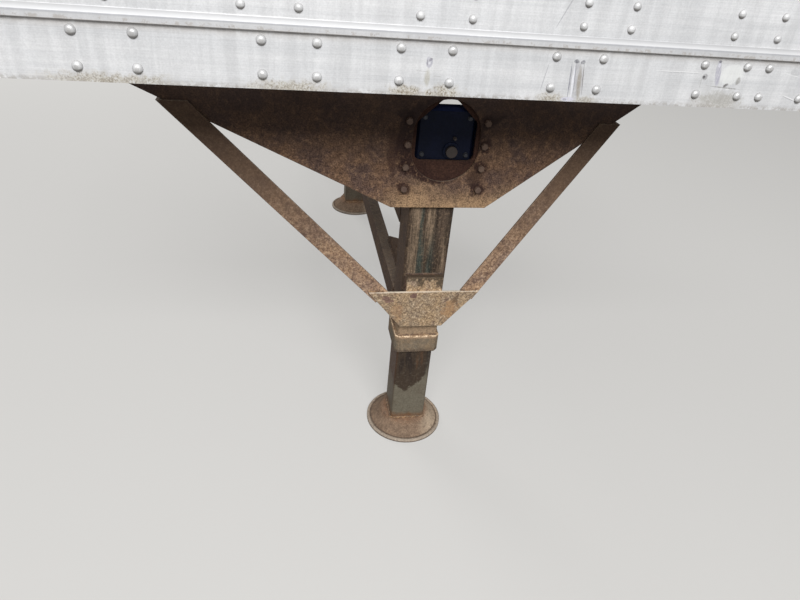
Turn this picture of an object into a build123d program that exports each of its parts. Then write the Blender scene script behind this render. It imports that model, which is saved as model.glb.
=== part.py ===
from build123d import *
import os
from math import cos, radians, sin, tan

# Landing gear of a semi trailer, with the length of trailer frame that it hangs from.
# Two telescopic legs hang under the frame, each bolted to a wing plate and braced to it,
# with ties between the legs, and one hand crank drives both through a cross shaft.
#
# Millimetres. X points to the front of the trailer, Z is up, the floor is at Z = 0 and the
# origin lies on the floor midway between the legs. The near leg is at -Y, the crank at +Y.

os.makedirs("parts", exist_ok=True)

# Trailer frame
body_width = 2590.0
rail_length = 1900.0
rail_bottom = 1226.0
rail_height = 240.0
rail_wall = 5.0
rail_lip = 32.0
rail_lip_thick = 5.0
bead_rise = 100.0
bead_nose = 12.0
bead_slope = 9.0
bead_proud = 7.0
bead_round = 3.0
ledge_width = 45.0
ledge_thick = 4.0

crossmember_places = (-690.0, -382.0, -133.0, 169.0, 486.0, 634.0)
crossmember_height = 101.6
crossmember_flange = 57.0
crossmember_flange_thick = 4.0
crossmember_web = 3.2
clip_width = 130.0
clip_height = 88.0
clip_thick = 5.0
cope_play = 1.0

# Legs
leg_track = 1800.0
outer_size = 127.0
outer_corner = 12.0
slide_play = 0.3
outer_bottom = 347.0
collar_wall = 6.5
collar_height = 63.0
collar_corner = 12.0
collar_bevel = 4.0
inner_size = 114.3
inner_wall = 5.0
inner_corner = 9.0
inner_bottom = 50.0
inner_length = 650.0

foot_radius = 129.5
foot_rim = 12.0
foot_rim_width = 8.0
foot_groove_radius = 117.0
foot_groove_height = 8.0
foot_crown_radius = 84.0
foot_waist_radius = 97.5
foot_waist_height = 27.0
foot_dish_depth = 6.0
foot_dish_radius = 60.0

# Gear cases on top of the legs: the roof falls from the crown towards the middle of the trailer
hanger_forward = 12.0
case_clearance = 111.0
case_width = 166.0
case_height = 140.0
case_corner = 14.0
case_crown = 14.0
case_roof_fall = 36.0
shaft_forward = 30.0
shaft_drop = 116.0
shaft_size = 30.0
shaft_play = 0.3
shaft_stub = 14.0
coupling_size = 42.0
coupling_length = 70.0
coupling_gap = 8.0

# Two speed gearbox: a casting with a flange, drafted walls, ribs and bosses
gearbox_width = 150.0
gearbox_height = 176.0
gearbox_depth = 88.0
gearbox_corner = 32.0
gearbox_drop = 28.0
gearbox_draft = 5.0
gearbox_flange = 10.0
gearbox_flange_thick = 11.0
gearbox_cover_inset = 20.0
gearbox_cover_proud = 7.0
gearbox_boss_radius = 30.0
gearbox_boss_proud = 12.0
idler_boss_radius = 20.0
idler_drop = 68.0
gearbox_rib_thick = 7.0
gearbox_rib_places = (-44.0, 44.0)

# Mounting plates, wing plates and their bolts' grid
mounting_width = 252.0
mounting_bottom = 880.0
mounting_top = 1158.0
mounting_thick = 8.0
mounting_corner = 12.0
opening_width = 158.0
opening_shoulder = 1080.0
opening_peak = 1153.0
opening_sill_round = 16.0
opening_shoulder_round = 12.0
opening_peak_round = 35.0
bolt_spacing_across = 203.2
bolt_spacing_up = 60.0
bolt_rows = 4
bolt_bottom = 904.0
bolt_hole = 15.5
bolt_hole_flats = 8
wing_thick = 6.0
wing_foot = 263.0
wing_bottom = 849.0
wing_rear = 790.0
wing_front = 600.0
wing_rear_angle = 25.7
wing_front_angle = 38.0
wing_window_width = 178.0
wing_window_height = 215.0
wing_window_rise = 182.5

# Braces in the plane of the wing plates
brace_size = 50.0
brace_thick = 6.0
brace_reach = 45.0
rear_brace_angle = 46.4
rear_brace_top = 1113.0
rear_brace_foot = (-145.0, 585.0)
front_brace_angle = 59.0
front_brace_top = 1093.0
front_brace_foot = (144.0, 590.0)
brace_tail = 30.0
gusset_thick = 8.0
gusset_top = 584.0
gusset_bottom = 462.0
gusset_top_width = 330.0
gusset_foot_width = 128.0
packer_width = 108.0
packer_bottom = 470.0
packer_top = 630.0

# Ties between the legs and the knee plates on the lower one
tie_height = 76.0
tie_flange = 38.0
tie_thick = 6.0
tie_bottom = 430.0
upper_tie_bottom = 737.0
knee_length = 330.0
knee_height = 166.0
knee_thick = 6.0
knee_nose = 14.0
knee_hole = 16.0
knee_hole_out = 165.0
knee_hole_up = 55.0

# Crank: a forked shaft end with the folding handle hung in it by a pin
crank_pin_out = 1250.0
fork_width = 34.0
fork_depth = 40.0
fork_height = 34.0
fork_slot = 17.0
crank_pin = 12.0
pin_play = 0.25
eye_play = 0.5
eye_size = 28.0
tongue_length = 32.0
handle_rod = 20.0
handle_offset = 80.0
handle_arm = 235.0
handle_grip = 110.0
handle_bend = 14.0
grip_size = 30.0
grip_sleeve = 92.0

# Values that follow from the sizes above
rail_face = body_width / 2
leg_centre = leg_track / 2
outer_half = outer_size / 2
frame_under = rail_bottom + rail_lip_thick
mounting_back = outer_half
wing_back = mounting_back + mounting_thick
brace_back = wing_back + wing_thick
gusset_back = brace_back + brace_thick
case_top = frame_under - case_clearance
outer_top = case_top - case_height
shaft_height = case_top - shaft_drop
floor_height = frame_under + crossmember_height
web_in = rail_face - rail_wall
wing_rear_end = hanger_forward - wing_foot / 2
wing_front_end = hanger_forward + wing_foot / 2
bolt_middle = bolt_bottom + bolt_spacing_up * (bolt_rows - 1) / 2
sides = (("near", -1), ("far", 1))


def outboard(side, distance):
    """Y of a plane this far outboard of the axis of the leg on that side."""
    return side * (leg_centre + distance)


def upright(y):
    """Vertical plane at this Y, with its own X along the trailer and its own Y upwards."""
    return Plane(origin=(0, y, 0), x_dir=(1, 0, 0), z_dir=(0, -1, 0))


# Bottom side rails: a web with a bead along its face, a lip under the crossmembers and a floor ledge
for side_name, side in sides:
    with BuildPart() as rail:
        with BuildSketch(Plane.YZ.offset(-rail_length / 2)):
            with BuildLine():
                bead_low = rail_bottom + bead_rise
                bead_face = rail_face + bead_proud
                rail_top = rail_bottom + rail_height
                ledge_under = floor_height - ledge_thick
                Polyline(
                    (side * rail_face, rail_bottom),
                    (side * rail_face, bead_low),
                    (side * bead_face, bead_low),
                )
                FilletPolyline(
                    (side * bead_face, bead_low),
                    (side * bead_face, bead_low + bead_nose),
                    (side * rail_face, bead_low + bead_nose + bead_slope),
                    (side * rail_face, rail_top),
                    radius=bead_round,
                )
                Polyline(
                    (side * rail_face, rail_top),
                    (side * web_in, rail_top),
                    (side * web_in, floor_height),
                    (side * (web_in - ledge_width), floor_height),
                    (side * (web_in - ledge_width), ledge_under),
                    (side * web_in, ledge_under),
                    (side * web_in, frame_under),
                    (side * (web_in - rail_lip), frame_under),
                    (side * (web_in - rail_lip), rail_bottom),
                    (side * rail_face, rail_bottom),
                )
            make_face()
        extrude(amount=rail_length)
    rail.part.label = f"rail_{side_name}"
    export_step(rail.part, f"parts/rail_{side_name}.step")

# Crossmembers: I beams coped under the floor ledges, with a clip plate at each end against the rail
for number, place in enumerate(crossmember_places, start=1):
    middle = frame_under + crossmember_height / 2
    flange_rise = (crossmember_height - crossmember_flange_thick) / 2
    beam_half = web_in
    with BuildPart() as crossmember:
        with BuildSketch(upright(beam_half)):
            with Locations((place, middle)):
                Rectangle(crossmember_web, crossmember_height)
            with Locations((place, middle - flange_rise), (place, middle + flange_rise)):
                Rectangle(crossmember_flange, crossmember_flange_thick)
        extrude(amount=2 * beam_half)
        for end in (-1, 1):
            cope_length = ledge_width + cope_play
            with Locations((place, end * (beam_half - cope_length / 2), floor_height - ledge_thick / 2)):
                Box(crossmember_flange, cope_length, ledge_thick, mode=Mode.SUBTRACT)
            with BuildSketch(upright(end * (beam_half - clip_thick / 2))):
                with Locations((place, middle)):
                    Rectangle(clip_width, clip_height)
            extrude(amount=clip_thick / 2, both=True)
    crossmember.part.label = f"crossmember_{number}"
    export_step(crossmember.part, f"parts/crossmember_{number}.step")

# Wing plates: sheets with sloped ends, a window over the gear case and a flange under the frame
for side_name, side in sides:
    rear_rise = (wing_rear + wing_rear_end) * tan(radians(wing_rear_angle))
    front_rise = (wing_front - wing_front_end) * tan(radians(wing_front_angle))
    window_centre = (hanger_forward, wing_bottom + wing_window_rise)
    with BuildPart() as wing_plate:
        with BuildSketch(upright(outboard(side, wing_back + wing_thick / 2))):
            with BuildLine():
                Polyline(
                    (wing_rear_end, wing_bottom),
                    (wing_front_end, wing_bottom),
                    (wing_front, wing_bottom + front_rise),
                    (wing_front, frame_under),
                    (-wing_rear, frame_under),
                    (-wing_rear, wing_bottom + rear_rise),
                    close=True,
                )
            make_face()
            with Locations(window_centre):
                SlotOverall(wing_window_height, wing_window_width, rotation=90, mode=Mode.SUBTRACT)
            with Locations((hanger_forward, bolt_middle)):
                with GridLocations(bolt_spacing_across, bolt_spacing_up, 2, bolt_rows):
                    RegularPolygon(bolt_hole / 2, bolt_hole_flats, major_radius=False, mode=Mode.SUBTRACT)
        extrude(amount=wing_thick / 2, both=True)
        flange_width = wing_back + wing_thick
        with BuildSketch(Plane.XY.offset(frame_under - wing_thick)):
            with Locations(((wing_front - wing_rear) / 2, outboard(side, flange_width / 2))):
                Rectangle(wing_front + wing_rear, flange_width)
        extrude(amount=wing_thick)
    wing_plate.part.label = f"wing_plate_{side_name}"
    export_step(wing_plate.part, f"parts/wing_plate_{side_name}.step")

# Outer leg tubes, open at the lower end where the inner leg slides
for side_name, side in sides:
    with BuildPart() as outer_leg:
        with BuildSketch(Plane.XY.offset(outer_bottom)):
            with Locations((0, outboard(side, 0))):
                RectangleRounded(outer_size, outer_size, outer_corner)
                bore = inner_size + 2 * slide_play
                RectangleRounded(bore, bore, inner_corner + slide_play, mode=Mode.SUBTRACT)
        extrude(amount=outer_top - outer_bottom)
    outer_leg.part.label = f"outer_leg_{side_name}"
    export_step(outer_leg.part, f"parts/outer_leg_{side_name}.step")

# Collars round the mouths of the outer tubes
for side_name, side in sides:
    with BuildPart() as collar:
        with BuildSketch(Plane.XY.offset(outer_bottom)) as collar_outline:
            with Locations((0, outboard(side, 0))):
                Rectangle(outer_size + 2 * collar_wall, outer_size + 2 * collar_wall)
            chamfer(collar_outline.vertices(), collar_corner)
        extrude(amount=collar_height)
        chamfer(collar.faces().sort_by(Axis.Z)[-1].edges(), collar_bevel)
        with BuildSketch(Plane.XY.offset(outer_bottom)):
            with Locations((0, outboard(side, 0))):
                RectangleRounded(outer_size, outer_size, outer_corner)
        extrude(amount=collar_height, mode=Mode.SUBTRACT)
    collar.part.label = f"collar_{side_name}"
    export_step(collar.part, f"parts/collar_{side_name}.step")

# Inner legs
for side_name, side in sides:
    with BuildPart() as inner_leg:
        with BuildSketch(Plane.XY.offset(inner_bottom)):
            with Locations((0, outboard(side, 0))):
                RectangleRounded(inner_size, inner_size, inner_corner)
                hollow = inner_size - 2 * inner_wall
                RectangleRounded(hollow, hollow, inner_corner - inner_wall, mode=Mode.SUBTRACT)
        extrude(amount=inner_length)
    inner_leg.part.label = f"inner_leg_{side_name}"
    export_step(inner_leg.part, f"parts/inner_leg_{side_name}.step")

# Feet: round dished shoes that carry the inner legs
for side_name, side in sides:
    with BuildPart() as foot:
        with BuildSketch(upright(outboard(side, 0))):
            with BuildLine():
                Polyline(
                    (0, inner_bottom),
                    (0, foot_dish_depth),
                    (foot_dish_radius, foot_dish_depth),
                    (foot_dish_radius, 0),
                    (foot_radius, 0),
                    (foot_radius, foot_rim),
                    (foot_radius - foot_rim_width, foot_rim),
                    (foot_groove_radius, foot_groove_height),
                    (foot_waist_radius, foot_waist_height),
                    (foot_crown_radius, inner_bottom),
                    close=True,
                )
            make_face()
        revolve(axis=Axis((0, outboard(side, 0), 0), (0, 0, 1)))
    foot.part.label = f"foot_{side_name}"
    export_step(foot.part, f"parts/foot_{side_name}.step")

# Gear cases: closed housings on the outer tubes, bored for the cross shaft
for side_name, side in sides:
    case_face = outboard(side, outer_half)
    case_back = outboard(side, -outer_half)
    with BuildPart() as gear_case:
        with BuildSketch(Plane.YZ.offset(hanger_forward - case_width / 2)):
            with BuildLine():
                Polyline(
                    (case_face, outer_top),
                    (case_face, case_top - case_crown),
                    (case_face - side * case_crown, case_top),
                    (case_back, case_top - case_roof_fall),
                    (case_back, outer_top),
                    close=True,
                )
            make_face()
        extrude(amount=case_width)
        chamfer(gear_case.edges().filter_by(Axis.Z), case_corner)
        with BuildSketch(upright(outboard(side, 0))):
            with Locations((shaft_forward, shaft_height)):
                Circle(shaft_size / 2 + shaft_play)
        extrude(amount=outer_size, both=True, mode=Mode.SUBTRACT)
    gear_case.part.label = f"gear_case_{side_name}"
    export_step(gear_case.part, f"parts/gear_case_{side_name}.step")

# Two speed gearbox on the inboard face of the far gear case: the flange, the drafted body with a
# raised cover on its face, the bearing boss of the shaft, the boss of the idler, and upright ribs
flange_face = leg_centre - outer_half - gearbox_flange_thick
body_face = leg_centre - outer_half - gearbox_depth
cover_face = body_face - gearbox_cover_proud
boss_face = body_face - gearbox_boss_proud
gearbox_middle = (shaft_forward, shaft_height - gearbox_drop)
with BuildPart() as gearbox:
    with BuildSketch(upright(leg_centre - outer_half)):
        with Locations(gearbox_middle):
            flange_width = gearbox_width + 2 * gearbox_flange
            flange_height = gearbox_height + 2 * gearbox_flange
            RectangleRounded(flange_width, flange_height, gearbox_corner + gearbox_flange)
    extrude(amount=gearbox_flange_thick)
    with BuildSketch(upright(flange_face)) as body_outline:
        with Locations(gearbox_middle):
            Rectangle(gearbox_width, gearbox_height)
        chamfer(body_outline.vertices(), gearbox_corner)
    extrude(amount=flange_face - body_face, taper=gearbox_draft)
    with BuildSketch(upright(body_face)) as cover_outline:
        with Locations(gearbox_middle):
            Rectangle(gearbox_width - 2 * gearbox_cover_inset, gearbox_height - 2 * gearbox_cover_inset)
        chamfer(cover_outline.vertices(), gearbox_corner - gearbox_cover_inset / 2)
    extrude(amount=gearbox_cover_proud)
    with BuildSketch(upright(flange_face)):
        with Locations((shaft_forward, shaft_height)):
            Circle(gearbox_boss_radius)
        with Locations((shaft_forward, shaft_height - idler_drop)):
            Circle(idler_boss_radius)
    extrude(amount=flange_face - boss_face)
    for rib_place in gearbox_rib_places:
        with BuildSketch(Plane.YZ.offset(shaft_forward + rib_place - gearbox_rib_thick / 2)):
            with BuildLine():
                rib_top = gearbox_middle[1] + gearbox_height / 2 + gearbox_flange
                Polyline(
                    (flange_face, rib_top),
                    (flange_face, rib_top - gearbox_height / 2),
                    (cover_face, rib_top - gearbox_height / 2),
                    (cover_face, rib_top - gearbox_flange - gearbox_cover_inset),
                    close=True,
                )
            make_face()
        extrude(amount=gearbox_rib_thick)
    with BuildSketch(upright(leg_centre - outer_half)):
        with Locations((shaft_forward, shaft_height)):
            Circle(shaft_size / 2 + shaft_play)
    extrude(amount=2 * gearbox_depth, both=True, mode=Mode.SUBTRACT)
gearbox.part.label = "gearbox"
export_step(gearbox.part, "parts/gearbox.step")

# Mounting plates: welded to the outer tubes, with a gabled opening in front of the gear cases
for side_name, side in sides:
    mounting_height = mounting_top - mounting_bottom
    opening_left = hanger_forward - opening_width / 2
    opening_right = hanger_forward + opening_width / 2
    with BuildPart() as mounting_plate:
        with BuildSketch(upright(outboard(side, mounting_back + mounting_thick / 2))) as plate_outline:
            with Locations((hanger_forward, mounting_bottom + mounting_height / 2)):
                Rectangle(mounting_width, mounting_height)
            chamfer(plate_outline.vertices(), mounting_corner)
            with Locations((hanger_forward, bolt_middle)):
                with GridLocations(bolt_spacing_across, bolt_spacing_up, 2, bolt_rows):
                    RegularPolygon(bolt_hole / 2, bolt_hole_flats, major_radius=False, mode=Mode.SUBTRACT)
            with BuildLine():
                FilletPolyline(
                    (opening_right, outer_top),
                    (opening_right, opening_shoulder),
                    (hanger_forward, opening_peak),
                    (opening_left, opening_shoulder),
                    (opening_left, outer_top),
                    close=True,
                    radius=[
                        opening_sill_round,
                        opening_shoulder_round,
                        opening_peak_round,
                        opening_shoulder_round,
                        opening_sill_round,
                    ],
                )
            make_face(mode=Mode.SUBTRACT)
        extrude(amount=mounting_thick / 2, both=True)
    mounting_plate.part.label = f"mounting_plate_{side_name}"
    export_step(mounting_plate.part, f"parts/mounting_plate_{side_name}.step")

# Fore and aft braces: angle bars on the face of the wing plate, cut level at the top
brace_table = (
    # name, direction along X, slope in degrees, height of the top cut, point on the middle line
    ("rear_brace", -1, rear_brace_angle, rear_brace_top, rear_brace_foot),
    ("front_brace", 1, front_brace_angle, front_brace_top, front_brace_foot),
)
for side_name, side in sides:
    for brace_name, direction, slope, top_height, (foot_x, foot_z) in brace_table:
        along = Vector(direction * cos(radians(slope)), sin(radians(slope)))
        across = Vector(direction * sin(radians(slope)), -cos(radians(slope)))
        low_end = Vector(foot_x, foot_z) - along * brace_tail
        low_outer = low_end + across * (brace_size / 2)
        low_inner = low_end - across * (brace_size / 2)
        low_flange = low_outer - across * brace_thick
        high_outer = low_outer + along * ((top_height - low_outer.Y) / along.Y)
        high_inner = low_inner + along * ((top_height - low_inner.Y) / along.Y)
        high_flange = low_flange + along * ((top_height - low_flange.Y) / along.Y)
        with BuildPart() as brace:
            with BuildSketch(upright(outboard(side, brace_back + brace_thick / 2))):
                with BuildLine():
                    Polyline(low_outer, high_outer, high_inner, low_inner, close=True)
                make_face()
            extrude(amount=brace_thick / 2, both=True)
            flange_middle = gusset_back - brace_reach / 2
            with BuildSketch(upright(outboard(side, flange_middle))):
                with BuildLine():
                    Polyline(low_outer, high_outer, high_flange, low_flange, close=True)
                make_face()
            extrude(amount=brace_reach / 2, both=True)
        brace.part.label = f"{brace_name}_{side_name}"
        export_step(brace.part, f"parts/{brace_name}_{side_name}.step")

# Packers and gussets that join the lower ends of the braces to the outer tubes
for side_name, side in sides:
    packer_thick = gusset_back - outer_half
    packer_height = packer_top - packer_bottom
    with BuildPart() as packer:
        with BuildSketch(upright(outboard(side, outer_half + packer_thick / 2))):
            with Locations((0, packer_bottom + packer_height / 2)):
                Rectangle(packer_width, packer_height)
        extrude(amount=packer_thick / 2, both=True)
    packer.part.label = f"packer_{side_name}"
    export_step(packer.part, f"parts/packer_{side_name}.step")

    with BuildPart() as gusset:
        with BuildSketch(upright(outboard(side, gusset_back + gusset_thick / 2))):
            with BuildLine():
                Polyline(
                    (-gusset_top_width / 2, gusset_top),
                    (gusset_top_width / 2, gusset_top),
                    (gusset_foot_width / 2, gusset_bottom),
                    (-gusset_foot_width / 2, gusset_bottom),
                    close=True,
                )
            make_face()
        extrude(amount=gusset_thick / 2, both=True)
    gusset.part.label = f"gusset_{side_name}"
    export_step(gusset.part, f"parts/gusset_{side_name}.step")

# Ties: channels between the inboard faces of the legs, their webs to the rear
tie_length = leg_track - outer_size
tie_rear = -outer_half
for tie_name, tie_low in (("tie", tie_bottom), ("upper_tie", upper_tie_bottom)):
    with BuildPart() as channel:
        with BuildSketch(upright(tie_length / 2)):
            tie_middle = tie_low + tie_height / 2
            with Locations((tie_rear + tie_flange / 2, tie_middle)):
                Rectangle(tie_flange, tie_height)
            with Locations((tie_rear + tie_flange / 2 + tie_thick, tie_middle)):
                Rectangle(tie_flange, tie_height - 2 * tie_thick, mode=Mode.SUBTRACT)
        extrude(amount=tie_length)
    channel.part.label = tie_name
    export_step(channel.part, f"parts/{tie_name}.step")

# Knee plates: upright triangles on the lower tie against the inboard faces of the legs
for side_name, side in sides:
    knee_start = side * (leg_centre - outer_half)
    tie_top = tie_bottom + tie_height
    knee_front = tie_rear + tie_flange
    with BuildPart() as knee:
        with BuildSketch(Plane.YZ.offset(knee_front - knee_thick)):
            with BuildLine():
                Polyline(
                    (knee_start, tie_top),
                    (knee_start - side * knee_length, tie_top),
                    (knee_start - side * knee_length, tie_top + knee_nose),
                    (knee_start, tie_top + knee_height),
                    close=True,
                )
            make_face()
            with Locations((knee_start - side * knee_hole_out, tie_top + knee_hole_up)):
                Circle(knee_hole / 2, mode=Mode.SUBTRACT)
        extrude(amount=knee_thick)
    knee.part.label = f"knee_plate_{side_name}"
    export_step(knee.part, f"parts/knee_plate_{side_name}.step")

# Cross shaft from the stub in the near window to the far leg, with a coupling sleeve near each leg
cross_shaft_start = outboard(-1, outer_half + shaft_stub)
near_coupling = outboard(-1, -outer_half - coupling_gap - coupling_length / 2)
far_coupling = boss_face - coupling_gap - coupling_length / 2
with BuildPart() as cross_shaft:
    with BuildSketch(upright(leg_centre)):
        with Locations((shaft_forward, shaft_height)):
            Circle(shaft_size / 2)
    extrude(amount=leg_centre - cross_shaft_start)
    for coupling_middle in (near_coupling, far_coupling):
        with BuildSketch(upright(coupling_middle)):
            with Locations((shaft_forward, shaft_height)):
                Circle(coupling_size / 2)
        extrude(amount=coupling_length / 2, both=True)
cross_shaft.part.label = "cross_shaft"
export_step(cross_shaft.part, "parts/cross_shaft.step")

# Crank shaft with a fork and the pin of the handle at its outer end
with BuildPart() as crank_shaft:
    with BuildSketch(upright(leg_centre)):
        with Locations((shaft_forward, shaft_height)):
            Circle(shaft_size / 2)
    extrude(amount=-(crank_pin_out - fork_depth / 2 - leg_centre))
    with Locations((shaft_forward, crank_pin_out, shaft_height)):
        Box(fork_width, fork_depth, fork_height)
    slot_length = fork_depth / 2 + eye_size / 2 + eye_play
    with Locations((shaft_forward, crank_pin_out + fork_depth / 2 - slot_length / 2, shaft_height)):
        Box(fork_slot, slot_length, fork_height, mode=Mode.SUBTRACT)
    with Locations((shaft_forward, crank_pin_out, shaft_height)):
        Cylinder(crank_pin / 2, fork_width, rotation=(0, 90, 0))
crank_shaft.part.label = "crank_shaft"
export_step(crank_shaft.part, "parts/crank_shaft.step")

# Crank handle, folded under the shaft: an eye on the pin, an offset, the arm and the grip
with BuildPart() as crank_handle:
    eye_width = fork_slot - 2 * eye_play
    arm_height = shaft_height - handle_offset
    grip_out = crank_pin_out - handle_arm
    grip_end = arm_height - handle_grip
    with BuildLine() as handle_path:
        Polyline(
            (shaft_forward, crank_pin_out, shaft_height - tongue_length),
            (shaft_forward, crank_pin_out, arm_height + handle_bend),
            (shaft_forward, crank_pin_out - handle_bend, arm_height),
            (shaft_forward, grip_out + handle_bend, arm_height),
            (shaft_forward, grip_out, arm_height - handle_bend),
            (shaft_forward, grip_out, grip_end),
        )
    with BuildSketch(Plane(handle_path.line @ 0, z_dir=handle_path.line % 0)):
        Circle(handle_rod / 2)
    sweep(transition=Transition.RIGHT)
    with Locations((shaft_forward, crank_pin_out, shaft_height - tongue_length / 2)):
        Box(eye_width, handle_rod, tongue_length)
    with Locations((shaft_forward, crank_pin_out, shaft_height)):
        Cylinder(eye_size / 2, eye_width, rotation=(0, 90, 0))
        Cylinder(crank_pin / 2 + pin_play, eye_width, rotation=(0, 90, 0), mode=Mode.SUBTRACT)
    with Locations((shaft_forward, grip_out, grip_end + grip_sleeve / 2)):
        Cylinder(grip_size / 2, grip_sleeve)
crank_handle.part.label = "crank_handle"
export_step(crank_handle.part, "parts/crank_handle.step")
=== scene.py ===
import logging
import math
from collections.abc import Callable, Iterable, Sequence
from dataclasses import dataclass, replace
from enum import Enum
from functools import reduce

import bmesh
import bpy
from mathutils import Matrix, Vector


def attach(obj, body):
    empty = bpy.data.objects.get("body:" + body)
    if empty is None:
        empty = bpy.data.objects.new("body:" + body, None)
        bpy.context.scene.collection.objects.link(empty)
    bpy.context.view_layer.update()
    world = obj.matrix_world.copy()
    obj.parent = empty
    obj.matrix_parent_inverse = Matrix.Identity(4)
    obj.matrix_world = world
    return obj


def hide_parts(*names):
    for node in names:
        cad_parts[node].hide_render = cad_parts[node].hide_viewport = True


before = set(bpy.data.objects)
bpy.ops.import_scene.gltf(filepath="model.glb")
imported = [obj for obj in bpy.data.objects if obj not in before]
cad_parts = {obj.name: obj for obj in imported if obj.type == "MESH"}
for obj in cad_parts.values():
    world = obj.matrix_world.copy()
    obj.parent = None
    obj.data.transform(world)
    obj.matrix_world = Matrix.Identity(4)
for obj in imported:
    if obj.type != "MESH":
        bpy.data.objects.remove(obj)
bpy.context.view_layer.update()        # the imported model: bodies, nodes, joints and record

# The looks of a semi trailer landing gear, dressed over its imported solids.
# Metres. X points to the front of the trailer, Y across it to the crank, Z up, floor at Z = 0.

Colour = tuple[float, float, float]
Point = tuple[float, float, float]
Run = tuple[Sequence[float], Sequence[float]]
Value = bpy.types.NodeSocket | float
Item = bpy.types.Object

log = logging.getLogger("landing_gear")


# Names

class Side(Enum):
    """The two sides of the trailer: the near one at -Y, the far one with the crank at +Y."""

    NEAR = -1
    FAR = 1

    @property
    def word(self) -> str:
        """The side's word in the names of nodes and pieces."""
        return self.name.lower()

    def out(self, distance: float) -> float:
        """Y of a plane this far outboard of the leg's axis on this side."""
        return self.value * (LEG_CENTRE + distance)

    def across(self, distance: float) -> float:
        """Y of a plane this far from the trailer's middle on this side."""
        return self.value * distance

    @property
    def outward(self) -> Vector:
        """Direction away from the trailer's middle."""
        return Vector((0, self.value, 0))


class Body(Enum):
    """The bodies that a piece can ride on."""

    FRAME = "frame"
    NEAR_LEG = "near_leg"
    FAR_LEG = "far_leg"
    CRANK = "crank"
    HANDLE = "handle"

    @staticmethod
    def leg(side: Side) -> "Body":
        """The sliding inner leg on one side."""
        return Body.NEAR_LEG if side is Side.NEAR else Body.FAR_LEG


class Slot(Enum):
    """The record's material slots."""

    RAIL = "rail"
    WING = "wing"
    BRACE = "brace"
    OUTER_LEG = "outer_leg"
    INNER_LEG = "inner_leg"
    FOOT = "foot"
    GEAR_CASE = "gear_case"
    SHAFT = "shaft"
    HANDLE = "handle"


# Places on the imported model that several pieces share

LEG_CENTRE = 0.9
OUTER_HALF = 0.0635
INNER_HALF = 0.05715
HANGER_X = 0.012
SHAFT_X = 0.030
SHAFT_Z = 1.004
RAIL_FACE = 1.295
CROSSMEMBERS = (-0.690, -0.382, -0.133, 0.169, 0.486, 0.634)
BOLT_ACROSS = 0.1016
BOLT_COLUMNS = (HANGER_X - BOLT_ACROSS, HANGER_X + BOLT_ACROSS)
BOLT_ROWS = (0.904, 0.964, 1.024, 1.084)


# Modelling bench: from which Z of its normal a face looks up, and how close two heights count as one

FACES_UP = 0.9
SAME_LEVEL = 1e-5


class Pick(Enum):
    """What a selection in edit mode is made of."""

    VERT = "VERT"
    EDGE = "EDGE"
    FACE = "FACE"


def facing(direction: Vector, at: Sequence[float], turn: float = 0.0) -> Matrix:
    """Place that aims a piece modelled along +Z, with its origin at a point, turned on itself by degrees."""
    aim = direction.to_track_quat("Z", "Y").to_matrix().to_4x4()
    return Matrix.Translation(Vector(at)) @ aim @ Matrix.Rotation(math.radians(turn), 4, "Z")


def off_axis(point: Vector) -> float:
    """Distance from the Z axis."""
    return math.hypot(point.x, point.y)


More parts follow.
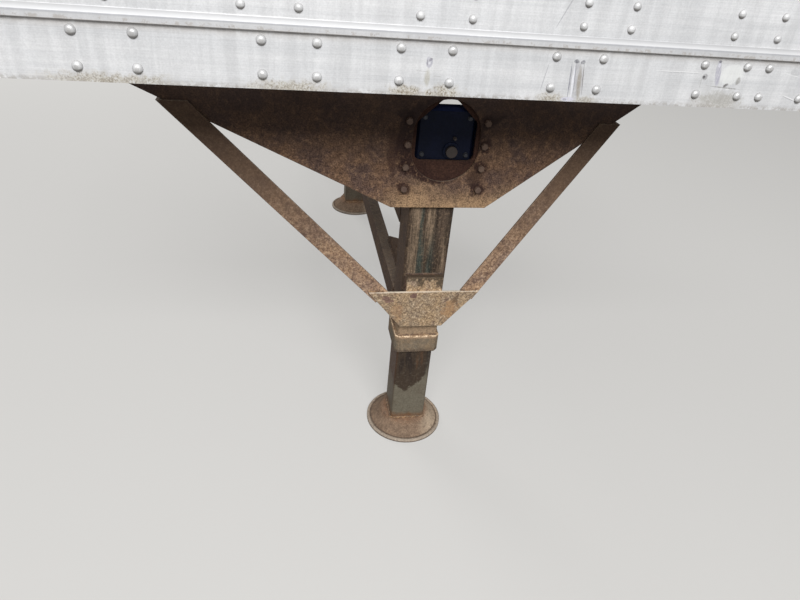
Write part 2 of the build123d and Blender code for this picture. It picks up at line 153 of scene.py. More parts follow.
class Workpiece:
    """A mesh on the bench: a primitive that edit operators turn into a piece."""

    def __init__(self, name: str, item: Item | None = None) -> None:
        """Takes a new object onto the bench.

        Args:
            name: the piece's name.
            item: the object, by default the active one.
        """
        self.item = item or bpy.context.view_layer.objects.active
        self.item.name = name
        self.item.data.name = name

    @staticmethod
    def clear() -> None:
        """Leaves edit mode and deselects everything."""
        if bpy.context.mode != "OBJECT":
            bpy.ops.object.mode_set(mode="OBJECT")
        bpy.ops.object.select_all(action="DESELECT")

    @classmethod
    def rod(cls, name: str, radius: float, length: float, sides: int = 24) -> "Workpiece":
        """A cylinder that stands on z = 0, to be shaped further.

        Args:
            name: the piece's name.
            radius: its radius.
            length: its height.
            sides: how many sides it has.

        Returns:
            The new workpiece.
        """
        middle = (0, 0, length / 2)
        bpy.ops.mesh.primitive_cylinder_add(vertices=sides, radius=radius, depth=length, location=middle)
        return cls(name).level()

    @classmethod
    def block(cls, name: str, size: Point, at: Point = (0, 0, 0)) -> "Workpiece":
        """A cube round a middle, scaled to a size, to be shaped further."""
        bpy.ops.mesh.primitive_cube_add(size=1.0, location=at, scale=size)
        return cls(name).level()

    @classmethod
    def tube(cls, name: str, radius: float, bore: float, length: float, sides: int = 32) -> "Workpiece":
        """A cylinder with a bore through it.

        Args:
            name: the piece's name.
            radius: its outer radius.
            bore: its inner radius.
            length: its height.
            sides: how many sides it has.

        Returns:
            The new workpiece.
        """
        piece = cls.rod(name, radius, length, sides)
        piece.edit().faces(lambda middle, normal: abs(normal.z) > FACES_UP).inset(radius - bore)
        bpy.ops.mesh.delete(type="FACE")
        middle = (radius + bore) / 2
        piece.edit(Pick.EDGE).edges(lambda a, b: max(off_axis(a), off_axis(b)) < middle)
        bpy.ops.mesh.bridge_edge_loops()
        return piece.done()

    @classmethod
    def ball(cls, name: str, radius: float, segments: int, rings: int) -> "Workpiece":
        """A sphere round the origin, to be cut and squashed."""
        bpy.ops.mesh.primitive_uv_sphere_add(segments=segments, ring_count=rings, radius=radius)
        return cls(name)

    @classmethod
    def disc(cls, name: str, radius: float, sides: int) -> "Workpiece":
        """A filled circle at z = 0, to be extruded and spun."""
        bpy.ops.mesh.primitive_circle_add(vertices=sides, radius=radius, fill_type="NGON")
        return cls(name)

    def hold(self) -> None:
        """Makes this the only selected object, and the active one."""
        self.clear()
        self.item.select_set(True)
        bpy.context.view_layer.objects.active = self.item

    def level(self) -> "Workpiece":
        """Applies the object's own place to its mesh.

        Returns:
            The workpiece.
        """
        self.hold()
        bpy.ops.object.transform_apply(location=True, rotation=True, scale=True)
        return self

    def edit(self, kind: Pick = Pick.FACE) -> "Workpiece":
        """Goes into edit mode with nothing selected.

        Args:
            kind: what is going to be selected.

        Returns:
            The workpiece.
        """
        self.hold()
        bpy.ops.object.mode_set(mode="EDIT")
        bpy.ops.mesh.select_mode(type=kind.value)
        bpy.ops.mesh.select_all(action="DESELECT")
        return self

    def done(self) -> "Workpiece":
        """Goes back to object mode."""
        bpy.ops.object.mode_set(mode="OBJECT")
        return self

    def select(self, mesh: bmesh.types.BMesh, chosen: dict) -> "Workpiece":
        """Selects some faces or edges.

        Args:
            mesh: the mesh in edit mode.
            chosen: its faces or edges, and for each whether it is selected.

        Returns:
            The workpiece.
        """
        for element, wanted in chosen.items():
            element.select_set(wanted)
        mesh.select_flush_mode()
        bmesh.update_edit_mesh(self.item.data)
        return self

    def faces(self, test: Callable[[Vector, Vector], bool]) -> "Workpiece":
        """Selects the faces whose middle and normal pass the test."""
        mesh = bmesh.from_edit_mesh(self.item.data)
        return self.select(mesh, {face: test(face.calc_center_median(), face.normal) for face in mesh.faces})

    def edges(self, test: Callable[[Vector, Vector], bool]) -> "Workpiece":
        """Selects the edges whose two ends pass the test."""
        mesh = bmesh.from_edit_mesh(self.item.data)
        return self.select(mesh, {edge: test(edge.verts[0].co, edge.verts[1].co) for edge in mesh.edges})

    def upright(self, least: float) -> "Workpiece":
        """Selects the edges that rise by more than this."""
        return self.edges(lambda a, b: abs(a.z - b.z) > least)

    def whole(self) -> "Workpiece":
        """Selects all of the mesh."""
        bpy.ops.mesh.select_all(action="SELECT")
        return self

    def top(self) -> "Workpiece":
        """Selects the highest face that looks up."""
        level = max(vertex.co.z for vertex in bmesh.from_edit_mesh(self.item.data).verts)
        return self.faces(lambda middle, normal: normal.z > FACES_UP and middle.z > level - SAME_LEVEL)

    def bottom(self) -> "Workpiece":
        """Selects the lowest face that looks down."""
        level = min(vertex.co.z for vertex in bmesh.from_edit_mesh(self.item.data).verts)
        return self.faces(lambda middle, normal: normal.z < -FACES_UP and middle.z < level + SAME_LEVEL)

    def inset(self, thickness: float, depth: float = 0.0) -> "Workpiece":
        """Insets the selected faces."""
        bpy.ops.mesh.inset(thickness=thickness, depth=depth)
        return self

    def extrude(self, move: Sequence[float]) -> "Workpiece":
        """Extrudes the selected region by a move."""
        bpy.ops.mesh.extrude_region_move(TRANSFORM_OT_translate={"value": tuple(move)})
        return self

    def resize(self, factors: Point, centre: Sequence[float] = (0, 0, 0)) -> "Workpiece":
        """Scales the selection about a centre."""
        bpy.ops.transform.resize(value=factors, center_override=tuple(centre))
        return self

    def bevel(self, width: float, segments: int = 1) -> "Workpiece":
        """Bevels the selected edges."""
        bpy.ops.mesh.bevel(offset=width, segments=segments, affect="EDGES", clamp_overlap=True)
        return self

    def spin(self, angle: float, centre: Sequence[float], axis: Sequence[float], steps: int) -> "Workpiece":
        """Sweeps the selected face round an axis, by degrees of the right hand rule."""
        bpy.ops.mesh.spin(steps=steps, angle=-math.radians(angle), center=tuple(centre), axis=tuple(axis))
        return self

    def halve(self) -> "Workpiece":
        """Keeps what is above z = 0 and closes the cut.

        Returns:
            The workpiece.
        """
        self.edit(Pick.VERT).whole()
        bpy.ops.mesh.bisect(plane_co=(0, 0, 0), plane_no=(0, 0, 1), use_fill=True, clear_inner=True)
        return self.done()

    def rings(self, radii: Sequence[float], heights: Sequence[float], upward: bool = True) -> "Workpiece":
        """Turns the end of a round piece on a lathe: one extrusion for each radius and height.

        Args:
            radii: radius of each next ring.
            heights: height of each next ring.
            upward: whether the top end is turned, or the bottom one.

        Returns:
            The workpiece.
        """
        self.edit()
        (self.top if upward else self.bottom)()
        first = next(vertex.co for vertex in bmesh.from_edit_mesh(self.item.data).verts if vertex.select)
        now, level = off_axis(first), first.z
        for radius, height in zip(radii, heights):
            self.extrude((0, 0, height - level))
            self.resize((radius / now, radius / now, 1))
            now, level = radius, height
        return self.done()

    def modify(self, kind: str, **settings: object) -> "Workpiece":
        """Adds one modifier, sets it and applies it.

        Args:
            kind: the modifier's type.
            settings: its settings by name.

        Returns:
            The workpiece.
        """
        self.hold()
        modifier = self.item.modifiers.new(kind.lower(), kind)
        for name, value in settings.items():
            setattr(modifier, name, value)
        bpy.ops.object.modifier_apply(modifier=modifier.name)
        return self

    def waves(self, size: float, height: float, group: str = "") -> "Workpiece":
        """Makes the surface uneven.

        Args:
            size: width of the waves.
            height: how far they move the surface.
            group: the vertex group that they are kept to.

        Returns:
            The workpiece.
        """
        texture = bpy.data.textures.new(self.item.name, "CLOUDS")
        texture.noise_scale = size
        return self.modify("DISPLACE", texture=texture, texture_coords="LOCAL", strength=height,
                           mid_level=0.5, vertex_group=group)

    def move(self, place: Matrix) -> "Workpiece":
        """Moves the mesh itself, so that the object stays at the origin.

        Args:
            place: where it goes.

        Returns:
            The workpiece.
        """
        self.item.data.transform(place)
        if place.determinant() < 0:
            self.item.data.flip_normals()
        return self

    def paint(self, finish: "Finish") -> "Workpiece":
        """Gives the whole piece one finish.

        Args:
            finish: what it is dressed in.

        Returns:
            The workpiece.
        """
        self.item.data.materials.clear()
        self.item.data.materials.append(finish.material())
        return self


def join(name: str, items: Sequence[Item]) -> Workpiece:
    """Makes one piece of several.

    Args:
        name: the new piece's name.
        items: the objects, the first one active.

    Returns:
        The joined piece.
    """
    Workpiece.clear()
    for item in items:
        item.select_set(True)
    bpy.context.view_layer.objects.active = items[0]
    if len(items) > 1:
        bpy.ops.object.join()
    return Workpiece(name)


def spread(name: str, pattern: Workpiece, places: Iterable[Matrix]) -> Workpiece:
    """Copies a pattern to each place, and joins the copies to one piece.

    Args:
        name: the new piece's name.
        pattern: what is copied, and then removed.
        places: where the copies go.

    Returns:
        The joined piece.
    """
    copies = []
    for place in places:
        twin = pattern.item.copy()
        twin.data = pattern.item.data.copy()
        bpy.context.scene.collection.objects.link(twin)
        Workpiece(pattern.item.name, twin).move(place)
        copies.append(twin)
    bpy.data.objects.remove(pattern.item)
    return join(name, copies)


def settle(piece: Workpiece, body: Body, smooth: float = 35.0) -> None:
    """Finishes a piece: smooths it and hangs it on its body.

    Args:
        piece: the workpiece, in its place.
        body: the body that it rides on.
        smooth: degrees above which an edge stays sharp.
    """
    piece.level()
    bpy.ops.object.shade_smooth_by_angle(angle=math.radians(smooth))
    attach(piece.item, body.value)
    log.info("%s rides on %s with %d faces", piece.item.name, body.value, len(piece.item.data.polygons))


# Material mixing: how far a mark reaches to both sides of the plane that it lies in, and a reach past all

MARK_REACH = 0.4
ALL_ACROSS = 1000.0

# How far the bevelled normal leaves the flat one where the worn edge starts and is full
EDGE_FROM = 0.02
EDGE_FULL = 0.25

# Sockets of the mix node that are its colour ones
COLOUR_MIX_FACTOR, COLOUR_MIX_A, COLOUR_MIX_B = 0, 6, 7
COLOUR_MIX_RESULT = 2


@dataclass(frozen=True)
class Mark:
    """A local patch of wear on an upright face, painted where it lies.

    Args:
        at: X and Z of its middle.
        half: its half sizes along X and Z.
        colour: its colour.
        lean: degrees that its top leans to the front.
        soft: width of its border, as a share of its size.
        ragged: how far its border wanders.
        depth: how much of it covers what lies below.
        face: Y of the face, by default that of the near rail.
    """

    at: tuple[float, float]
    half: tuple[float, float]
    colour: Colour = (0.3, 0.3, 0.3)
    lean: float = 0.0
    soft: float = 0.35
    ragged: float = 0.8
    depth: float = 1.0
    face: float = -RAIL_FACE


class Mixer:
    """One node material in the making. Each step adds its nodes and hands back where they end."""

    def __init__(self, name: str, metallic: float = 0.0, specular: float = 0.5) -> None:
        """Starts a material with its shader and the object's own coordinates.

        Args:
            name: the material's name.
            metallic: how metallic it is.
            specular: its specular level.
        """
        self.result = bpy.data.materials.new(name)
        self.result.use_nodes = True
        self.tree = self.result.node_tree
        self.shader = next(node for node in self.tree.nodes if node.type == "BSDF_PRINCIPLED")
        self.shader.inputs["Metallic"].default_value = metallic
        self.shader.inputs["Specular IOR Level"].default_value = specular
        self.here = self.add("ShaderNodeTexCoord").outputs["Object"]
        self.x, self.y, self.z = self.add("ShaderNodeSeparateXYZ", {0: self.here}).outputs
        self.normal: bpy.types.NodeSocket | None = None

    def add(self, kind: str, inputs: dict[int | str, object] | None = None,
            **settings: object) -> bpy.types.Node:
        """Adds one node, sets it and feeds it.

        Args:
            kind: the node's type.
            inputs: what goes into it, by the input's number or name.
            settings: its settings by name.

        Returns:
            The node.
        """
        node = self.tree.nodes.new(kind)
        for name, value in settings.items():
            setattr(node, name, value)
        for place, value in (inputs or {}).items():
            self.feed(node.inputs[place], value)
        return node

    def feed(self, socket: bpy.types.NodeSocket, value: object) -> None:
        """Links a socket, or sets its number, colour or vector.

        Args:
            socket: the input.
            value: an output to link, or a value.
        """
        if isinstance(value, bpy.types.NodeSocket):
            self.tree.links.new(value, socket)
        elif isinstance(value, (tuple, list)) and len(value) == 3 and len(socket.default_value) == 4:
            socket.default_value = (*value, 1.0)
        else:
            socket.default_value = value

    def calc(self, operation: str, first: Value, second: Value = 0.0) -> Value:
        """One step of arithmetic with one value or two."""
        return self.add("ShaderNodeMath", {0: first, 1: second}, operation=operation).outputs[0]

    def times(self, *values: Value) -> Value:
        """The product of some values."""
        return reduce(lambda total, value: self.calc("MULTIPLY", total, value), values)

    def plus(self, first: Value, second: Value) -> Value:
        """The sum of two values."""
        return self.calc("ADD", first, second)

    def sway(self, noise: Value, width: float) -> Value:
        """A noise moved to a mean of zero and stretched to a width."""
        return self.calc("MULTIPLY", self.calc("SUBTRACT", noise, 0.5), width)

    def apart(self, first: Value, second: Value) -> Value:
        """How far two values lie apart."""
        return self.calc("ABSOLUTE", self.calc("SUBTRACT", first, second))

    def across(self) -> Value:
        """Distance from the trailer's middle."""
        return self.calc("ABSOLUTE", self.y)

    def diagonal(self, first: Value, second: Value) -> Value:
        """Length of the diagonal over two sides."""
        squares = [self.calc("POWER", side, 2.0) for side in (first, second)]
        return self.calc("SQRT", self.plus(*squares))

    def fade(self, value: Value, low: float, high: float, bottom: float = 0.0, top: float = 1.0) -> Value:
        """A soft step from bottom at low to top at high; low may be the greater one."""
        inputs = dict(enumerate((value, low, high, bottom, top)))
        return self.add("ShaderNodeMapRange", inputs, interpolation_type="SMOOTHSTEP").outputs[0]

    def band(self, value: Value, low: tuple[float, float], high: tuple[float, float]) -> Value:
        """The mask of a band; each pair holds a value off the band and the nearest one in it."""
        return self.times(self.fade(value, *low), self.fade(value, *high))

    def noise(self, scale: float, detail: float = 4.0, rough: float = 0.55, stretch: Point | None = None,
              warp: float = 0.0, shift: float = 0.0) -> Value:
        """Fractal noise over the object, in lumps per metre.

        Args:
            scale: lumps per metre.
            detail: octaves.
            rough: strength of the finer octaves.
            stretch: factors along X, Y and Z.
            warp: distortion.
            shift: moves the pattern, so that two alike differ.

        Returns:
            The noise, about 0.5 in the mean.
        """
        where = self.here
        if stretch or shift:
            place = {"Vector": where, "Location": (shift, shift, shift), "Scale": stretch or (1, 1, 1)}
            where = self.add("ShaderNodeMapping", place).outputs[0]
        inputs = {"Vector": where, "Scale": scale, "Detail": detail, "Roughness": rough, "Distortion": warp}
        return self.add("ShaderNodeTexNoise", inputs).outputs[0]

    def tint(self, value: Value, *stops: tuple[float, Colour]) -> Value:
        """A colour ramp.

        Args:
            value: what it depends on.
            stops: places and their colours.

        Returns:
            The colour.
        """
        ramp = self.add("ShaderNodeValToRGB", {0: value})
        points = ramp.color_ramp.elements
        while len(points) < len(stops):
            points.new(0.5)
        for point, (place, colour) in zip(points, stops):
            point.position = place
            point.color = (*colour, 1.0)
        return ramp.outputs[0]

    def cover(self, under: object, over: object, amount: Value) -> Value:
        """Lays one colour over another where the amount says."""
        inputs = {COLOUR_MIX_FACTOR: amount, COLOUR_MIX_A: under, COLOUR_MIX_B: over}
        return self.add("ShaderNodeMix", inputs, data_type="RGBA").outputs[COLOUR_MIX_RESULT]

    def reach(self, at: Point, half: Point, lean: float = 0.0) -> Value:
        """Distance from a middle, counted in half sizes.

        Args:
            at: the middle.
            half: the half sizes.
            lean: degrees that the top leans to the front.

        Returns:
            The distance, 1 on the border.
        """
        turn = (0.0, math.radians(lean), 0.0)
        place = {"Vector": self.here, "Location": at, "Rotation": turn, "Scale": half}
        where = self.add("ShaderNodeMapping", place, vector_type="TEXTURE").outputs[0]
        return self.add("ShaderNodeVectorMath", {0: where}, operation="LENGTH").outputs["Value"]

    def patch(self, mark: Mark, wander: Value) -> Value:
        """The mask of a mark, its border moved by a noise.

        Args:
            mark: the mark.
            wander: the noise.

        Returns:
            The mask.
        """
        (x, z), (wide, high) = mark.at, mark.half
        far = self.reach((x, mark.face, z), (wide, MARK_REACH, high), mark.lean)
        moved = self.plus(far, self.sway(wander, 2 * mark.ragged))
        return self.fade(moved, 1.0 + mark.soft / 2, 1.0 - mark.soft / 2, 0.0, mark.depth)

    def marked(self, colour: Value, marks: Iterable[Mark], wander: Value, breaks: Value = 1.0) -> Value:
        """Lays marks over a colour in their own colours, broken up by a mask.

        Args:
            colour: what lies below.
            marks: the marks, the lowest first.
            wander: the noise that moves their borders.
            breaks: the mask.

        Returns:
            The colour with the marks.
        """
        for mark in marks:
            colour = self.cover(colour, mark.colour, self.times(self.patch(mark, wander), breaks))
        return colour

    def worn_edge(self, radius: float) -> Value:
        """Mask of the outer and inner edges of a part, from a bevel of that radius.

        Args:
            radius: the radius.

        Returns:
            The mask.
        """
        self.normal = self.add("ShaderNodeBevel", {"Radius": radius}, samples=4).outputs[0]
        flat = self.add("ShaderNodeNewGeometry").outputs["True Normal"]
        match = self.add("ShaderNodeVectorMath", {0: self.normal, 1: flat}, operation="DOT_PRODUCT")
        return self.fade(match.outputs["Value"], 1.0 - EDGE_FROM, 1.0 - EDGE_FULL)

    def lean(self, kind: str = "True Normal") -> Value:
        """Z of a normal, which is 1 on a face that looks up, 0 on an upright one and -1 below."""
        normal = self.add("ShaderNodeNewGeometry").outputs[kind]
        return self.add("ShaderNodeSeparateXYZ", {0: normal}).outputs[2]

    def upward(self, low: float = 0.5, high: float = 0.95) -> Value:
        """Mask of the faces that look up, for dusty tops and for painted top light."""
        return self.fade(self.lean(), low, high)

    def shaded(self, colour: Value, factor: Value) -> Value:
        """A colour made lighter or darker by a factor."""
        return self.add("ShaderNodeVectorMath", {0: colour, "Scale": factor}, operation="SCALE").outputs[0]

    def relief(self, height: Value, distance: float, strength: float = 1.0) -> None:
        """Adds relief to the surface, on top of what is there.

        Args:
            height: the pattern.
            distance: its depth in metres.
            strength: its strength.
        """
        inputs = {"Strength": strength, "Distance": distance, "Height": height}
        if self.normal is not None:
            inputs["Normal"] = self.normal
        self.normal = self.add("ShaderNodeBump", inputs).outputs[0]

    def finish(self, colour: Value, roughness: Value) -> bpy.types.Material:
        """Links colour, roughness and relief to the shader.

        Args:
            colour: the base colour.
            roughness: the roughness.

        Returns:
            The finished material.
        """
        self.feed(self.shader.inputs["Base Color"], colour)
        self.feed(self.shader.inputs["Roughness"], roughness)
        if self.normal is not None:
            self.feed(self.shader.inputs["Normal"], self.normal)
        return self.result


@dataclass(frozen=True)
class Finish:
    """A surface finish. Each kind says how its colours, relief and gloss are mixed."""

    name: str

    def mix(self) -> bpy.types.Material:
        """Mixes the material."""
        raise NotImplementedError

    def material(self) -> bpy.types.Material:
        """The finish's material, mixed once."""
        return bpy.data.materials.get(self.name) or self.mix()


@dataclass(frozen=True)
class RailFinish(Finish):
    """Weathered mill finish aluminium: drawn lines, scratches, worn strips, grime on the lower edge."""

    dull: Colour = (0.64, 0.645, 0.655)
    bright: Colour = (0.76, 0.76, 0.765)
    grime: Colour = (0.20, 0.155, 0.10)
    moss: Colour = (0.50, 0.43, 0.27)
    # Painted shade, with some dirt, under the bead.
    bead_shade: Colour = (0.42, 0.39, 0.36)
    nose_line: Colour = (0.42, 0.43, 0.46)
    # Painted shade on the bead's upward slope, darker at its top and lighter at the nose.
    slope_shade_high: Colour = (0.41, 0.41, 0.415)
    slope_shade_low: Colour = (0.63, 0.63, 0.635)
    bead_front: Colour = (0.50, 0.50, 0.51)
    nicks: Colour = (0.45, 0.42, 0.39)
    bottom: float = 1.226
    grime_height: float = 0.012
    bead_low: float = 1.326
    bead_nose: float = 1.338
    grime_marks: tuple[Mark, ...] = (
        Mark((-0.690, 1.231), (0.090, 0.010), soft=1.4, depth=0.8, ragged=1.6),
        Mark((-0.382, 1.232), (0.060, 0.011), soft=1.4, depth=0.8, ragged=1.6),
        Mark((-0.165, 1.233), (0.030, 0.012), soft=1.4, depth=0.95, ragged=1.6),
        Mark((-0.093, 1.234), (0.026, 0.012), soft=1.4, depth=0.95, ragged=1.6),
        Mark((0.125, 1.232), (0.024, 0.010), soft=1.2, depth=0.8, ragged=1.4),
        Mark((0.200, 1.230), (0.018, 0.008), soft=1.2, depth=0.7, ragged=1.4),
        Mark((0.490, 1.238), (0.050, 0.014), soft=1.2, depth=0.45, ragged=1.4),
    )
    marks: tuple[Mark, ...] = (
        # Smudge behind the second clip, with its run and two scratches
        Mark((-0.127, 1.2865), (0.0060, 0.0095), (0.42, 0.41, 0.48), ragged=0.9, depth=0.85),
        Mark((-0.125, 1.2915), (0.0040, 0.0022), (0.20, 0.19, 0.22), -30, ragged=0.9, depth=0.8),
        Mark((-0.1305, 1.286), (0.0014, 0.0050), (0.24, 0.23, 0.26), ragged=0.7, depth=0.7),
        Mark((-0.127, 1.2850), (0.0022, 0.0020), (0.86, 0.86, 0.90), ragged=0.8, depth=0.8),
        Mark((-0.128, 1.258), (0.0048, 0.0150), (0.42, 0.39, 0.30), soft=0.9, ragged=0.9, depth=0.65),
        Mark((-0.139, 1.2704), (0.0120, 0.0007), (0.36, 0.35, 0.34), 2, ragged=0.6, depth=0.6),
        Mark((-0.109, 1.2622), (0.0080, 0.0007), (0.36, 0.35, 0.34), 2, ragged=0.6, depth=0.6),
        # Rubbed strip behind the third clip: body, pale run, dark borders, dents at the top, bent lower edge
        Mark((0.170, 1.267), (0.0135, 0.0345), (0.46, 0.455, 0.475), -7, 0.3, 0.25, 0.85),
        Mark((0.164, 1.264), (0.0028, 0.0320), (0.88, 0.88, 0.92), -6, 0.5, 0.4, 0.85),
        Mark((0.178, 1.262), (0.0045, 0.0300), (0.34, 0.30, 0.245), -8, 0.7, 0.7, 0.8),
        Mark((0.1575, 1.264), (0.0009, 0.0350), (0.16, 0.16, 0.21), -5, 0.5, 0.35, 0.95),
        Mark((0.1670, 1.268), (0.0008, 0.0300), (0.22, 0.22, 0.27), -7, 0.5, 0.5, 0.8),
        Mark((0.1840, 1.270), (0.0009, 0.0320), (0.16, 0.14, 0.14), -9, 0.5, 0.4, 0.95),
        Mark((0.1630, 1.3020), (0.0052, 0.0036), (0.13, 0.13, 0.15), 12, 0.4, 0.8, 0.9),
        Mark((0.1765, 1.3010), (0.0044, 0.0036), (0.15, 0.15, 0.17), -20, 0.4, 0.8, 0.9),
        Mark((0.162, 1.2310), (0.0150, 0.0042), (0.70, 0.69, 0.80), ragged=0.9, depth=0.85),
        Mark((0.155, 1.2300), (0.0040, 0.0024), (0.28, 0.28, 0.33), ragged=0.9, depth=0.7),
        # Pale patch, hole, strip and blots before the fourth clip
        Mark((0.505, 1.2930), (0.0270, 0.0200), (0.86, 0.87, 0.85), -12, 0.3, 0.5, 0.75),
        Mark((0.4735, 1.2930), (0.0060, 0.0250), (0.46, 0.45, 0.52), -13, 0.4, 0.6, 0.95),
        Mark((0.4700, 1.3090), (0.0030, 0.0040), (0.85, 0.85, 0.92), -13, 0.4, 0.6, 0.7),
        Mark((0.4690, 1.3165), (0.0036, 0.0024), (0.12, 0.12, 0.14), ragged=0.6, depth=1.0),
        Mark((0.4465, 1.2862), (0.0060, 0.0060), (0.36, 0.35, 0.36), ragged=0.7, depth=0.85),
        Mark((0.4446, 1.2852), (0.0030, 0.0030), (0.02, 0.02, 0.02), ragged=0.3, depth=1.0),
        Mark((0.4410, 1.2740), (0.0008, 0.0100), (0.36, 0.35, 0.34), -5, 0.5, 0.5, 0.6),
        Mark((0.498, 1.2668), (0.0340, 0.0012), (0.26, 0.25, 0.24), 3, 0.5, 0.9, 0.85),
        Mark((0.4995, 1.2716), (0.0060, 0.0030), (0.10, 0.09, 0.085), -30, 0.4, 0.9, 0.95),
        Mark((0.5240, 1.2810), (0.0050, 0.0080), (0.28, 0.27, 0.25), 10, 0.6, 1.2, 0.8),
        Mark((0.5060, 1.2640), (0.0045, 0.0016), (0.88, 0.88, 0.88), ragged=0.9, depth=0.8),
        Mark((0.490, 1.2460), (0.0420, 0.0140), (0.40, 0.39, 0.36), soft=1.2, ragged=2.4, depth=0.75),
        # Scratches
        Mark((0.385, 1.2933), (0.0480, 0.0011), (0.88, 0.88, 0.88), ragged=0.4, depth=0.9),
        Mark((0.385, 1.2918), (0.0460, 0.0008), (0.38, 0.38, 0.39), ragged=0.5, depth=0.75),
        Mark((0.661, 1.2520), (0.0190, 0.0012), (0.90, 0.90, 0.90), 16, 0.4, 0.5, 0.9),
        Mark((0.661, 1.2498), (0.0180, 0.0008), (0.36, 0.36, 0.37), 16, 0.4, 0.5, 0.7),
        Mark((0.645, 1.2980), (0.0220, 0.0010), (0.88, 0.88, 0.88), 10, 0.4, 0.5, 0.8),
        Mark((0.650, 1.3030), (0.0120, 0.0060), (0.50, 0.50, 0.51), 10, 0.6, 0.9, 0.6),
        Mark((0.125, 1.4000), (0.0012, 0.0450), (0.34, 0.34, 0.36), 24, 0.5, 0.4, 0.7),
        Mark((0.104, 1.2700), (0.0010, 0.0260), (0.36, 0.36, 0.38), 8, 0.5, 0.5, 0.65),
    )

    def mix(self) -> bpy.types.Material:
        """Mixes the material.

        Returns:
            The material.
        """
        mixer = Mixer(self.name, metallic=0.20, specular=0.4)
        bands = mixer.noise(1.0, 4, 0.6, (1.6, 1.6, 38.0))
        lines = mixer.noise(1.0, 5, 0.7, (3.0, 3.0, 520.0))
        cloud = mixer.noise(7.0, 5, 0.6)
        speck = mixer.noise(330.0, 3, 0.7)
        wander = mixer.noise(90.0, 4, 0.65)
        upright = mixer.noise(1.0, 4, 0.60, (46.0, 46.0, 3.0))
        colour = mixer.tint(bands, (0.32, self.dull), (0.62, self.bright))
        colour = mixer.cover(colour, self.dull, mixer.fade(cloud, 0.46, 0.64, 0.0, 0.7))
        colour = mixer.shaded(colour, mixer.fade(upright, 0.36, 0.64, 1.045, 0.93))
        colour = mixer.shaded(colour, mixer.fade(lines, 0.36, 0.66, 1.03, 0.95))
        colour = mixer.shaded(colour, mixer.fade(speck, 0.34, 0.66, 1.05, 0.95))
        colour = self.bead(mixer, colour, wander)
        low = mixer.fade(mixer.z, self.bottom + self.grime_height, self.bottom)
        colour = mixer.cover(colour, self.grime, mixer.times(low, mixer.fade(wander, 0.40, 0.60), 0.45))
        dirt = mixer.tint(speck, (0.40, self.grime), (0.55, self.moss), (0.63, self.dull))
        for mark in self.grime_marks:
            spots = mixer.times(mixer.patch(mark, wander), mixer.fade(speck, 0.34, 0.52, 1.0, 0.55))
            colour = mixer.cover(colour, dirt, spots)
        rough = mixer.plus(mixer.times(wander, 0.5), mixer.times(speck, 0.5))
        streaks = mixer.noise(1.0, 4, 0.65, (420.0, 420.0, 40.0))
        gaps = mixer.fade(streaks, 0.38, 0.58, 0.55, 1.0)
        breaks = mixer.times(mixer.fade(speck, 0.36, 0.50, 0.7, 1.0), gaps)
        colour = mixer.marked(colour, self.marks, rough, breaks)
        roughness = mixer.fade(cloud, 0.3, 0.7, 0.44, 0.60)
        mixer.relief(mixer.plus(mixer.times(lines, 0.5), mixer.times(cloud, 1.5)), 0.0006, 0.5)
        return mixer.finish(colour, roughness)

    def bead(self, mixer: Mixer, colour: Value, wander: Value) -> Value:
        """Adds painted shade with some dirt under the bead, the line and nicks on its nose, and painted shade
        on its upward slope that lightens towards the nose.

        Args:
            mixer: the material in the making.
            colour: its colour so far.
            wander: a noise.

        Returns:
            The colour with all of these.
        """
        low, nose = self.bead_low, self.bead_nose
        # Painted shade, with some dirt, in a band under the bead's nose.
        under = mixer.band(mixer.z, (low - 0.018, low - 0.001), (low + 0.0015, low + 0.0005))
        under = mixer.times(under, mixer.fade(wander, 0.25, 0.6, 0.3, 0.7))
        colour = mixer.cover(colour, self.bead_shade, under)
        line = mixer.band(mixer.z, (nose - 0.0050, nose - 0.0010), (nose + 0.0008, nose - 0.0008))
        line = mixer.times(line, mixer.fade(wander, 0.30, 0.55, 0.55, 0.9))
        colour = mixer.cover(colour, self.nose_line, line)
        # Painted shade on the upward slope, darker at its top and lighter towards the nose.
        slope = mixer.fade(mixer.lean(), 0.30, 0.55)
        high = mixer.fade(mixer.z, nose + 0.009, nose)
        film = mixer.tint(high, (0.0, self.slope_shade_high), (1.0, self.slope_shade_low))
        colour = mixer.cover(colour, film, mixer.times(slope, 0.9))
        front = mixer.band(mixer.z, (low, low + 0.001), (nose + 0.001, nose - 0.001))
        colour = mixer.cover(colour, self.bead_front, mixer.times(front, 0.45))
        nicks = mixer.band(mixer.z, (low, low + 0.001), (low + 0.008, low + 0.004))
        return mixer.cover(colour, self.nicks, mixer.times(nicks, mixer.fade(wander, 0.52, 0.62), 0.7))


